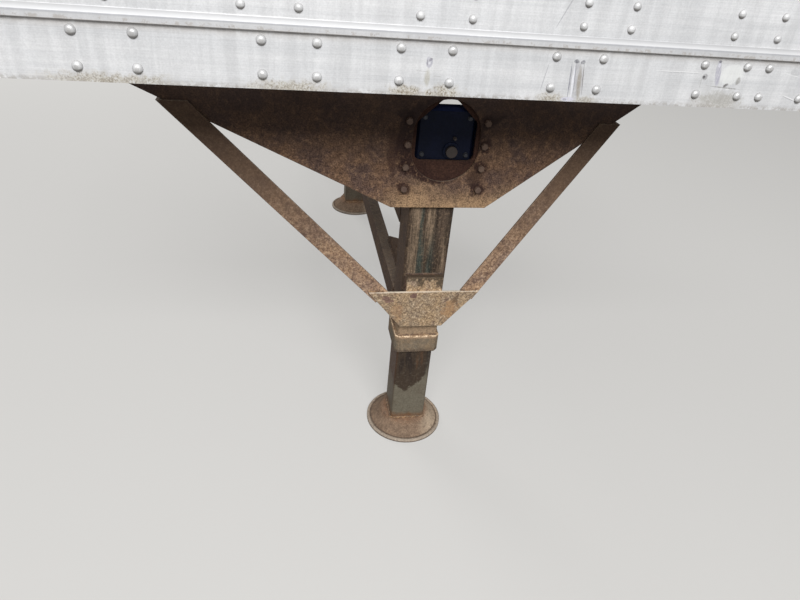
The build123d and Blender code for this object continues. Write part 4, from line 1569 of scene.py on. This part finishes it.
@dataclass
class TrailerFrame:
    """Bottom side rails with their rivets, and the crossmembers with their clips and hanger bolts."""

    rivet: Rivet = Rivet()
    post_rivet: Rivet = Rivet(0.0081, 0.0060, 0.0032)
    spacing: float = 0.0969
    clip_rows: tuple[float, ...] = (1.309, 1.251)
    post_rows: tuple[float, ...] = (1.364, 1.404)
    posts: tuple[float, ...] = (-0.726, -0.414, -0.103, 0.210, 0.529, 0.844)
    clip_face: float = 1.285
    web_in: float = 1.290
    hanger_bolt: HexBolt = HexBolt(0.019, 0.008, 0.0125, 0.0025, 0.006, 0.005)
    hanger_out: float = 0.036
    hanger_half: float = 0.017
    flange_under: float = 1.225
    flange_over: float = 1.235

    def build(self) -> None:
        """Builds the rivets and bolts, and dresses the frame."""
        for side in Side:
            dress_node(f"rail_{side.word}", RAIL)
            self.fasten(side, "clip", self.rivet, self.pairs(CROSSMEMBERS, self.clip_rows), self.clip_face)
            self.fasten(side, "post", self.post_rivet, self.pairs(self.posts, self.post_rows), self.web_in)
            self.hang(side)
        for number in range(1, len(CROSSMEMBERS) + 1):
            dress_node(f"crossmember_{number}", CROSS_STEEL)

    def pairs(self, middles: Iterable[float], rows: Iterable[float]) -> list[tuple[float, float]]:
        """X and Z of the rivets, in pairs about their middles."""
        return [(x + end * self.spacing / 2, z) for x in middles for end in (-1, 1) for z in rows]

    @staticmethod
    def fasten(side: Side, word: str, rivet: Rivet, spots: list[tuple[float, float]], inner: float) -> None:
        """Sets one kind of rivet, with its heads on the rail's face and its tails inside.

        Args:
            side: the side of the rail.
            word: what the rivets hold, for their name.
            rivet: their sizes.
            spots: their X and Z.
            inner: the plane of their tails, from the trailer's middle.
        """
        heads = placed(side.outward, [(x, side.across(RAIL_FACE), z) for x, z in spots], 37.0)
        tails = placed(-side.outward, [(x, side.across(inner), z) for x, z in spots], 53.0)
        settle(spread(f"{word}_rivets_{side.word}", rivet.pattern(), heads), Body.FRAME)
        settle(spread(f"{word}_rivet_tails_{side.word}", rivet.pattern(True), tails), Body.FRAME)

    def hang(self, side: Side) -> None:
        """Bolts the flange of the wing plate to the crossmembers above it.

        Args:
            side: the side of the wing plate.
        """
        bolt, half, y = self.hanger_bolt, self.hanger_half, side.out(self.hanger_out)
        spots = [(x + across, y) for x in CROSSMEMBERS[:-1] for across in (-half, half)]
        heads = placed(Vector((0, 0, -1)), [(*spot, self.flange_under) for spot in spots], 11.0)
        nuts = placed(Vector((0, 0, 1)), [(*spot, self.flange_over) for spot in spots], 17.0)
        settle(spread(f"hanger_heads_{side.word}", bolt.head_pattern(BOLT), heads), Body.FRAME)
        settle(spread(f"hanger_nuts_{side.word}", bolt.nut_pattern(BOLT), nuts), Body.FRAME)


@dataclass
class Hanger:
    """Wing plate, mounting plate and gear case on one side, with bolts, screws and welds."""

    side: Side
    bolt: HexBolt = HexBolt()
    screw: HexBolt = HexBolt(0.010, 0.005, 0.0066, 0.0012, 0.003, 0.002)
    wing_face: float = 0.0775
    plate_back: float = 0.0635
    seam_low: float = 0.884
    seam_high: float = 0.976
    seam_sunk: float = 0.004
    case_left: float = -0.071
    case_right: float = 0.095
    case_low: float = 0.980
    case_high: float = 1.106
    case_back_high: float = 1.084
    lid: Point = (0.136, 0.088, 0.003)
    lid_corner: float = 0.012
    lid_edge: float = 0.0015
    lid_rise: float = 0.0008
    lid_screws_across: tuple[float, ...] = (-0.059, 0, 0.059)
    lid_screws_up: tuple[float, ...] = (-0.035, 0.035)
    case_screw_in: float = 0.024
    case_screw_above: float = 0.014
    case_screw_below: float = 0.016
    seal_radius: float = 0.022
    seal_bore: float = 0.0152
    seal_proud: float = 0.005
    strip: Point = (0.006, 0.018, 0.104)
    strip_middle: float = 1.029
    strip_in: float = 0.0005
    strip_behind: float = 0.0092
    edge_bevel: float = 0.0012
    nipple_radius: float = 0.0045
    nipple_base: float = 0.005
    nipple_radii: tuple[float, ...] = (0.0030, 0.0030, 0.0042, 0.0030)
    nipple_heights: tuple[float, ...] = (0.0055, 0.0085, 0.0100, 0.0125)
    nipple_forward: float = 0.006
    nipple_above: float = 0.034

    def build(self) -> None:
        """Builds the fastenings and welds, and dresses the plates."""
        word = self.side.word
        dress_node(f"wing_plate_{word}", WING)
        dress_node(f"mounting_plate_{word}", PLATE)
        dress_node(f"gear_case_{word}", CASE)
        self.plate_bolts()
        if self.side is Side.NEAR:
            self.case_lid()
        self.case_screws()
        self.shaft_seal()
        self.case_strips()
        self.grease_nipple()

    def plate_bolts(self) -> None:
        """Bolts the wing plate to the mounting plate, and welds that to the tube."""
        side = self.side
        spots = [(x, z) for x in BOLT_COLUMNS for z in BOLT_ROWS]
        heads = placed(side.outward, [(x, side.out(self.wing_face), z) for x, z in spots], 23.0)
        settle(spread(f"leg_bolts_{side.word}", self.bolt.head_pattern(BOLT), heads), Body.FRAME)
        nuts = placed(-side.outward, [(x, side.out(self.plate_back), z) for x, z in spots], 41.0)
        settle(spread(f"leg_nuts_{side.word}", self.bolt.nut_pattern(BOLT), nuts), Body.FRAME)
        y = side.out(self.plate_back - self.seam_sunk)
        seams = [((x, y, self.seam_low), (x, y, self.seam_high)) for x in (-OUTER_HALF, OUTER_HALF)]
        settle(WeldBead().lay(f"plate_welds_{side.word}", seams, DARK_WELD), Body.FRAME)

    def case_lid(self) -> None:
        """Closes the gear case with a screwed lid on its inboard face."""
        side = self.side
        middle = (HANGER_X, side.out(-OUTER_HALF), (self.case_low + self.case_back_high) / 2)
        thick = self.lid[2]
        lid = Workpiece.block(f"case_lid_{side.word}", self.lid, (0, 0, thick / 2))
        lid.edit(Pick.EDGE).upright(thick / 2).bevel(self.lid_corner, 4).done()
        lid.edit().top().inset(self.lid_edge, self.lid_rise).done()
        lid.move(Matrix.Translation(middle) @ Matrix.Rotation(math.radians(-90), 4, "X"))
        settle(lid.paint(CASE), Body.FRAME)
        spots = [(middle[0] + a, middle[2] + b) for a in self.lid_screws_across for b in self.lid_screws_up]
        screws = placed(-side.outward, [(x, side.out(-OUTER_HALF - thick), z) for x, z in spots], 29.0)
        settle(spread(f"lid_screws_{side.word}", self.screw.head_pattern(SCREW), screws),
               Body.FRAME)

    def case_screws(self) -> None:
        """Puts a screw near each corner of the case's outboard face."""
        side = self.side
        columns = (self.case_left + self.case_screw_in, self.case_right - self.case_screw_in)
        rows = (self.case_low + self.case_screw_above, self.case_high - self.case_screw_below)
        screws = placed(side.outward, [(x, side.out(OUTER_HALF), z) for z in rows for x in columns], 31.0)
        settle(spread(f"case_screws_{side.word}", self.screw.head_pattern(SCREW), screws),
               Body.FRAME)

    def shaft_seal(self) -> None:
        """Puts a ring with a soft outer edge round the shaft."""
        name = f"shaft_seal_{self.side.word}"
        seal = Workpiece.tube(name, self.seal_radius, self.seal_bore, self.seal_proud, 48)
        top, rim = self.seal_proud - SAME_LEVEL, self.seal_radius - SAME_LEVEL
        seal.edit(Pick.EDGE).edges(lambda a, b: min(a.z, b.z) > top and min(off_axis(a), off_axis(b)) > rim)
        seal.bevel(self.edge_bevel, 2).done()
        place = facing(self.side.outward, (SHAFT_X, self.side.out(OUTER_HALF), SHAFT_Z))
        settle(seal.move(place).paint(CASE), Body.FRAME)

    def case_strips(self) -> None:
        """Closes the sight past both sides of the case with narrow strips."""
        y = self.side.out(OUTER_HALF - self.strip_behind)
        strips = []
        for x in (self.case_left + self.strip_in, self.case_right - self.strip_in):
            strip = Workpiece.block("strip", self.strip, (x, y, self.strip_middle))
            strip.edit(Pick.EDGE).upright(self.strip[2] / 2).bevel(self.edge_bevel, 2).done()
            strips.append(strip.item)
        settle(join(f"case_strips_{self.side.word}", strips).paint(CASE), Body.FRAME)

    def grease_nipple(self) -> None:
        """Turns the nipple above the shaft."""
        nipple = Workpiece.rod(f"grease_nipple_{self.side.word}", self.nipple_radius, self.nipple_base, 12)
        nipple.rings(self.nipple_radii, self.nipple_heights)
        spot = (SHAFT_X + self.nipple_forward, self.side.out(OUTER_HALF), SHAFT_Z + self.nipple_above)
        settle(nipple.move(facing(self.side.outward, spot)).paint(SHAFT), Body.FRAME)


@dataclass
class Leg:
    """Outer tube, collar, inner tube and foot on one side, with their welds."""

    side: Side
    bead: WeldBead = WeldBead(0.008)
    bead_out: float = 0.001
    packer_half: float = 0.054
    packer_weld_low: float = 0.474
    packer_high: float = 0.630
    collar_bead: WeldBead = WeldBead(0.007)
    collar_bead_out: float = 0.0015
    collar_corner: float = 0.007
    collar_weld_height: float = 0.4105
    shoe_radius: float = 0.1295
    shoe_edge: float = 0.0075
    shoe_radii: tuple[float, ...] = (0.1275, 0.1240, 0.1215, 0.1190, 0.1165, 0.1120, 0.1060, 0.0990,
                                     0.0930, 0.0880, 0.0840, 0.0810, 0.0790)
    shoe_heights: tuple[float, ...] = (0.0105, 0.0120, 0.0112, 0.0088, 0.0086, 0.0130, 0.0190, 0.0260,
                                       0.0325, 0.0390, 0.0450, 0.0486, 0.0500)
    shoe_wave: float = 0.06
    shoe_dents: float = 0.0016
    dented_from: float = 0.010
    foot_corner: float = 0.006
    foot_weld_height: float = 0.0515

    def build(self) -> None:
        """Builds the welds and the foot, and dresses the tubes."""
        word = self.side.word
        dress_node(f"outer_leg_{word}", OUTER_LEG)
        dress_node(f"collar_{word}", COLLAR)
        dress_node(f"inner_leg_{word}", INNER_LEG)
        self.tube_welds()
        self.packer_welds()
        self.foot()

    def tube_welds(self) -> None:
        """Lays the welds round both tubes, on the collar and on the foot."""
        axis, word = (0.0, self.side.out(0.0)), self.side.word
        out = OUTER_HALF + self.collar_bead_out
        collar = loop_runs(axis, out, self.collar_corner, self.collar_weld_height)
        settle(self.collar_bead.lay(f"collar_weld_{word}", collar, WELD), Body.FRAME)
        base = loop_runs(axis, INNER_HALF + self.bead_out, self.foot_corner, self.foot_weld_height)
        settle(self.bead.lay(f"foot_weld_{word}", base, WELD), Body.leg(self.side))

    def packer_welds(self) -> None:
        """Lays the welds along both edges and the top of the packer."""
        y, half = self.side.out(OUTER_HALF + self.bead_out), self.packer_half
        high = self.packer_high + self.bead_out
        runs = [((x, y, self.packer_weld_low), (x, y, self.packer_high)) for x in (-half, half)]
        runs.append(((-half, y, high), (half, y, high)))
        name = f"packer_welds_{self.side.word}"
        settle(self.bead.lay(name, runs, DARK_WELD), Body.FRAME)

    def foot(self) -> None:
        """Turns the pressed foot with its rolled rim, groove and waist, and dents it a little."""
        shoe = Workpiece.rod(f"foot_shoe_{self.side.word}", self.shoe_radius, self.shoe_edge, 96)
        shoe.rings(self.shoe_radii, self.shoe_heights)
        shoe.edit().bottom().extrude((0, 0, 0)).resize((0.5, 0.5, 1)).done()
        shoe.move(Matrix.Translation((0, self.side.out(0.0), 0)))
        group = shoe.item.vertex_groups.new(name="rim")
        dented = [vertex.index for vertex in shoe.item.data.vertices if vertex.co.z > self.dented_from]
        group.add(dented, 1.0, "REPLACE")
        shoe.waves(self.shoe_wave, self.shoe_dents, group.name)
        settle(shoe.paint(FOOT), Body.leg(self.side), 40.0)
        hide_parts(f"foot_{self.side.word}")


@dataclass
class Bracing:
    """Braces, gusset, packer and knee plate on one side, with their welds."""

    side: Side
    brace_face: float = 0.0835
    weld_height: float = 0.5848
    rear_weld: tuple[float, float] = (-0.163, -0.118)
    front_weld: tuple[float, float] = (0.112, 0.160)

    def build(self) -> None:
        """Builds the welds and dresses the bars."""
        finishes = {"rear_brace": BRACE, "front_brace": BRACE, "gusset": GUSSET, "packer": PACKER,
                    "knee_plate": TIE}
        for node, finish in finishes.items():
            dress_node(f"{node}_{self.side.word}", finish)
        y, z = self.side.out(self.brace_face + 0.0005), self.weld_height
        runs = [((start, y, z), (end, y, z)) for start, end in (self.rear_weld, self.front_weld)]
        settle(WeldBead(0.007).lay(f"gusset_welds_{self.side.word}", runs, WELD), Body.FRAME)


@dataclass
class TieBar:
    """Ties between the legs, and the welds of the lower one with its knee plates."""

    top: float = 0.506
    low: float = 0.430
    rear: float = -0.0635
    front: float = -0.0255
    knee_long: float = 0.330
    knee_high: float = 0.166
    knee_thick: float = 0.006
    tip: float = 0.004

    def build(self) -> None:
        """Builds the welds and dresses the ties."""
        dress_node("tie", TIE)
        dress_node("upper_tie", TIE)
        runs = [run for side in Side for run in self.seams(side)]
        settle(WeldBead(0.007).lay("tie_welds", runs, DARK_WELD), Body.FRAME)

    def seams(self, side: Side) -> list[Run]:
        """Start and end of the welds at one leg.

        Args:
            side: the side of the leg.

        Returns:
            Three runs round the tie, two up the knee plate and one along its foot.
        """
        face = side.across(LEG_CENTRE - OUTER_HALF - 0.0005)
        knee_end = side.across(LEG_CENTRE - OUTER_HALF - self.knee_long)
        knee_back = self.front - self.knee_thick
        knee_top = self.top + self.knee_high - self.tip
        return [((self.rear, face, self.low), (self.rear, face, self.top)),
                ((self.rear, face, self.top), (knee_back, face, self.top)),
                ((self.rear, face, self.low), (self.front, face, self.low)),
                ((self.front, face, self.top), (self.front, face, knee_top)),
                ((knee_back, face, self.top), (knee_back, face, knee_top)),
                ((knee_back, face, self.top), (knee_back, knee_end, self.top))]


@dataclass
class Drive:
    """Gearbox, cross shaft with couplings, crank shaft and folding handle."""

    gearbox_face: float = 0.8255
    gearbox_middle: float = 0.976
    flange_half: tuple[float, float] = (0.080, 0.093)
    # Shares of the flange's half height and half width
    side_screws: tuple[float, ...] = (-0.42, 0.0, 0.42)
    end_screws: tuple[float, ...] = (-0.36, 0.36)
    screw: HexBolt = HexBolt(0.0085, 0.005, 0.0052, 0.001, 0.003, 0.002)
    cross_bolt: HexBolt = HexBolt(0.013, 0.006, 0.0078, 0.0015, 0.004, 0.003)
    couplings_at: tuple[float, float] = (-0.7935, 0.6935)
    coupling_radius: float = 0.021
    coupling_bolt: float = 0.020
    bolt_sunk: float = 0.001
    pin_y: float = 1.250
    pin_half: float = 0.017
    cap_radius: float = 0.0095
    cap_washer: float = 0.0016
    cap_radii: tuple[float, ...] = (0.0062, 0.0060, 0.0048)
    cap_heights: tuple[float, ...] = (0.0016, 0.0042, 0.0050)
    rod: float = 0.010
    bend: float = 0.026
    bend_steps: int = 10
    drop: float = 0.080
    arm: float = 0.235
    grip: float = 0.110
    rod_from: float = 0.030
    rod_into_grip: float = 0.004
    eye_radius: float = 0.014
    eye_bore: float = 0.00625
    eye_width: float = 0.016
    tongue_size: Point = (0.016, 0.020, 0.024)
    tongue_below: float = 0.022
    tongue_bevel: float = 0.0025
    sleeve_radius: float = 0.0150
    sleeve_end: float = 0.0135
    sleeve_groove: float = 0.0138
    sleeve_length: float = 0.092
    sleeve_lead: float = 0.003
    ribs: int = 8
    rib_from: float = 0.006
    rib_pitch: float = 0.0105
    rib_heights: tuple[float, ...] = (0.0050, 0.0062, 0.0088, 0.0100)

    def build(self) -> None:
        """Builds the details and dresses the drive."""
        dress_node("gearbox", CASE)
        dress_node("cross_shaft", SHAFT)
        dress_node("crank_shaft", SHAFT)
        self.gearbox()
        self.couplings()
        self.pin()
        self.handle()

    def gearbox(self) -> None:
        """Puts the screws round the gearbox's flange."""
        wide, high = self.flange_half
        spots = [(a * wide, b * high) for a in (-1, 1) for b in self.side_screws]
        spots += [(a * wide, b * high) for a in self.end_screws for b in (-1, 1)]
        points = [(SHAFT_X + a, self.gearbox_face, self.gearbox_middle + b) for a, b in spots]
        screws = placed(Vector((0, -1, 0)), points, 19.0)
        settle(spread("gearbox_screws", self.screw.head_pattern(SCREW), screws), Body.FRAME)

    def couplings(self) -> None:
        """Bolts each coupling sleeve to the shaft."""
        up = Vector((0, 0, 1))
        heads, nuts = [], []
        for middle in self.couplings_at:
            for y in (middle - self.coupling_bolt, middle + self.coupling_bolt):
                heads.append(facing(up, (SHAFT_X, y, SHAFT_Z + self.coupling_radius - self.bolt_sunk)))
                nuts.append(facing(-up, (SHAFT_X, y, SHAFT_Z - self.coupling_radius + self.bolt_sunk)))
        settle(spread("coupling_bolts", self.cross_bolt.head_pattern(BOLT), heads), Body.CRANK)
        settle(spread("coupling_nuts", self.cross_bolt.nut_pattern(BOLT), nuts), Body.CRANK)

    def pin(self) -> None:
        """Adds the washers and heads of the pin in the fork."""
        parts = []
        for end in (-1, 1):
            cap = Workpiece.rod("cap", self.cap_radius, self.cap_washer)
            cap.rings(self.cap_radii, self.cap_heights)
            place = facing(Vector((end, 0, 0)), (SHAFT_X + end * self.pin_half, self.pin_y, SHAFT_Z))
            parts.append(cap.move(place).item)
        settle(join("fork_pin_caps", parts).paint(BOLT), Body.CRANK)

    def handle(self) -> None:
        """Joins the bar of the handle with its eye and tongue, and adds the grip."""
        parts = [self.bar(), self.eye(), self.tongue()]
        hub = join("crank_handle_bar", [part.paint(HANDLE).item for part in parts])
        settle(hub, Body.HANDLE)
        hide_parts("crank_handle")
        settle(self.sleeve(), Body.HANDLE)

    def bar(self) -> Workpiece:
        """Bends the handle's bar from one rod.

        Returns:
            The bar, from below the pin along the arm into the grip.
        """
        start, arm_z = SHAFT_Z - self.rod_from, SHAFT_Z - self.drop
        rod = Workpiece.disc("rod", self.rod, 24)
        rod.move(Matrix.Translation((SHAFT_X, self.pin_y, start)) @ Matrix.Rotation(math.pi, 4, "X"))
        rod.edit().whole().extrude((0, 0, arm_z + self.bend - start))
        rod.spin(-90, (SHAFT_X, self.pin_y - self.bend, arm_z + self.bend), (1, 0, 0), self.bend_steps)
        rod.extrude((0, 2 * self.bend - self.arm, 0))
        centre = (SHAFT_X, self.pin_y - self.arm + self.bend, arm_z - self.bend)
        rod.spin(90, centre, (1, 0, 0), self.bend_steps)
        return rod.extrude((0, 0, self.bend - self.grip + self.rod_into_grip)).done()

    def eye(self) -> Workpiece:
        """Models the eye that hangs on the pin, with its bore.

        Returns:
            The eye, about the pin.
        """
        place = Matrix.Translation((SHAFT_X - self.eye_width / 2, self.pin_y, SHAFT_Z))
        eye = Workpiece.tube("eye", self.eye_radius, self.eye_bore, self.eye_width)
        return eye.move(place @ Matrix.Rotation(math.radians(90), 4, "Y"))

    def tongue(self) -> Workpiece:
        """Models the block between eye and bar.

        Returns:
            The block, below the pin.
        """
        at = (SHAFT_X, self.pin_y, SHAFT_Z - self.tongue_below)
        block = Workpiece.block("tongue", self.tongue_size, at)
        return block.edit(Pick.EDGE).whole().bevel(self.tongue_bevel, 3).done()

    def sleeve(self) -> Workpiece:
        """Turns the grip with its ribs.

        Returns:
            The grip, in its place at the end of the arm.
        """
        piece = Workpiece.rod("crank_grip", self.sleeve_end, 0.001, 28)
        full, groove = self.sleeve_radius, self.sleeve_groove
        radii, heights = [full], [self.sleeve_lead]
        for rib in range(self.ribs):
            base = self.rib_from + rib * self.rib_pitch
            radii += [full, groove, groove, full]
            heights += [base + height for height in self.rib_heights]
        piece.rings(radii + [self.sleeve_end], heights + [self.sleeve_length])
        end = (SHAFT_X, self.pin_y - self.arm, SHAFT_Z - self.drop - self.grip)
        return piece.move(Matrix.Translation(end)).paint(GRIP)


def dress_node(name: str, finish: Finish) -> None:
    """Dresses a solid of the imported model, whose shape stays.

    Args:
        name: the solid's node.
        finish: what it is dressed in.
    """
    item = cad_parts[name]
    item.data.materials.clear()
    item.data.materials.append(finish.material())
    log.info("%s is dressed in %s", name, finish.name)


# Studio

@dataclass(frozen=True)
class Lamp:
    """A soft light, its width and height, and what it looks at."""

    name: str
    at: Point
    aim: Point
    width: float
    height: float
    watts: float
    colour: Colour = (1.0, 1.0, 1.0)

    def hang(self) -> None:
        """Hangs the light."""
        light = bpy.data.lights.new(self.name, "AREA")
        light.shape = "RECTANGLE"
        light.size = self.width
        light.size_y = self.height
        light.energy = self.watts
        light.color = self.colour
        item = bpy.data.objects.new(self.name, light)
        item.location = self.at
        item.rotation_euler = (Vector(self.aim) - Vector(self.at)).to_track_quat("-Z", "Y").to_euler()
        bpy.context.scene.collection.objects.link(item)


@dataclass(frozen=True)
class Studio:
    """Pale floor, soft lights, world and the camera at the photograph's place."""

    eye: Point = (-0.3897, -2.4413, 1.5172)
    yaw: float = 12.358
    pitch: float = 32.845
    roll: float = 5.576
    lens: float = 27.006
    sensor: float = 36.0
    sight: float = 200.0
    floor_size: float = 80.0
    sky: Colour = (0.78, 0.79, 0.81)
    sky_light: float = 0.24
    floor_seen: Colour = (0.34, 0.335, 0.325)
    floor_glow: Colour = (0.36, 0.355, 0.345)
    floor_bounce: Colour = (0.14, 0.14, 0.14)
    lamps: tuple[Lamp, ...] = (
        Lamp("key", (-0.50, -6.50, 5.50), (0.0, -0.9, 0.7), 5.4, 2.6, 560.0),
        Lamp("back", (-3.5, 6.5, 4.5), (0.0, 0.0, 0.8), 4.0, 4.0, 240.0),
    )

    def build(self) -> None:
        """Builds floor, world, lights and camera."""
        Workpiece.clear()
        bpy.ops.mesh.primitive_plane_add(size=self.floor_size)
        floor = Workpiece("studio_floor", bpy.context.active_object)
        floor.item.data.materials.append(self.floor())
        bpy.context.scene.world = self.world()
        for lamp in self.lamps:
            lamp.hang()
        self.camera()
        bpy.context.scene.view_settings.view_transform = "Standard"

    @staticmethod
    def seen(tree: bpy.types.NodeTree) -> bpy.types.NodeSocket:
        """Whether a ray comes from the camera, a mirror or glass, as a mask.

        Args:
            tree: where the mask is added.

        Returns:
            The mask.
        """
        path = tree.nodes.new("ShaderNodeLightPath")
        mask = path.outputs["Is Camera Ray"]
        for name in ("Is Glossy Ray", "Is Transmission Ray"):
            most = tree.nodes.new("ShaderNodeMath")
            most.operation = "MAXIMUM"
            tree.links.new(mask, most.inputs[0])
            tree.links.new(path.outputs[name], most.inputs[1])
            mask = most.outputs[0]
        return mask

    @staticmethod
    def shader(tree: bpy.types.NodeTree, kind: str, colour: Colour) -> bpy.types.NodeSocket:
        """Adds a shader of one colour.

        Args:
            tree: where it is added.
            kind: the node's type.
            colour: its colour.

        Returns:
            Its output.
        """
        node = tree.nodes.new(kind)
        node.inputs["Color"].default_value = (*colour, 1.0)
        return node.outputs[0]

    def choose(self, tree: bpy.types.NodeTree, light: bpy.types.NodeSocket,
               sight: bpy.types.NodeSocket) -> None:
        """Links the output to one shader as a light and to another for the eye.

        Args:
            tree: the nodes of the floor or of the world.
            light: the shader that lights the object.
            sight: the shader that camera, mirrors and glass show.
        """
        output = next(node for node in tree.nodes if node.type.startswith("OUTPUT"))
        choice = tree.nodes.new("ShaderNodeMixShader")
        for socket, value in zip(choice.inputs, (self.seen(tree), light, sight)):
            tree.links.new(value, socket)
        tree.links.new(choice.outputs[0], output.inputs[0])

    def floor(self) -> bpy.types.Material:
        """A pale floor for the camera, darker for the light that it throws back on the object.

        Returns:
            The material.
        """
        material = bpy.data.materials.new("pale_floor")
        material.use_nodes = True
        tree = material.node_tree
        tree.nodes.remove(next(node for node in tree.nodes if node.type == "BSDF_PRINCIPLED"))
        both = tree.nodes.new("ShaderNodeAddShader")
        tree.links.new(self.shader(tree, "ShaderNodeBsdfDiffuse", self.floor_seen), both.inputs[0])
        tree.links.new(self.shader(tree, "ShaderNodeEmission", self.floor_glow), both.inputs[1])
        self.choose(tree, self.shader(tree, "ShaderNodeBsdfDiffuse", self.floor_bounce), both.outputs[0])
        return material

    def world(self) -> bpy.types.World:
        """A pale sky for the camera, weaker as a light.

        Returns:
            The world.
        """
        world = bpy.data.worlds.new("soft_sky")
        world.use_nodes = True
        tree = world.node_tree
        light = next(node for node in tree.nodes if node.type == "BACKGROUND")
        light.inputs["Color"].default_value = (1.0, 1.0, 1.0, 1.0)
        light.inputs["Strength"].default_value = self.sky_light
        self.choose(tree, light.outputs[0], self.shader(tree, "ShaderNodeBackground", self.sky))
        return world

    def camera(self) -> None:
        """Sets the camera, from its yaw off +Y, its pitch down and its roll."""
        yaw, pitch, roll = (math.radians(angle) for angle in (self.yaw, self.pitch, self.roll))
        ahead = Vector((math.sin(yaw) * math.cos(pitch), math.cos(yaw) * math.cos(pitch), -math.sin(pitch)))
        right = Vector((math.cos(yaw), -math.sin(yaw), 0.0))
        above = right.cross(ahead)
        across = right * math.cos(roll) + above * math.sin(roll)
        upper = above * math.cos(roll) - right * math.sin(roll)
        aim = Matrix((across, upper, -ahead)).transposed().to_4x4()
        data = bpy.data.cameras.new("camera")
        data.lens = self.lens
        data.sensor_width = self.sensor
        data.sensor_fit = "HORIZONTAL"
        data.clip_end = self.sight
        item = bpy.data.objects.new("camera", data)
        item.matrix_world = Matrix.Translation(self.eye) @ aim
        bpy.context.scene.collection.objects.link(item)
        bpy.context.scene.camera = item


def main() -> None:
    """Builds the sub-assemblies in order, then the studio."""
    logging.basicConfig(level=logging.INFO, format="%(name)s: %(message)s")
    TrailerFrame().build()
    for side in Side:
        Hanger(side).build()
        Leg(side).build()
        Bracing(side).build()
    TieBar().build()
    Drive().build()
    Studio().build()


if __name__ == "__main__":
    main()
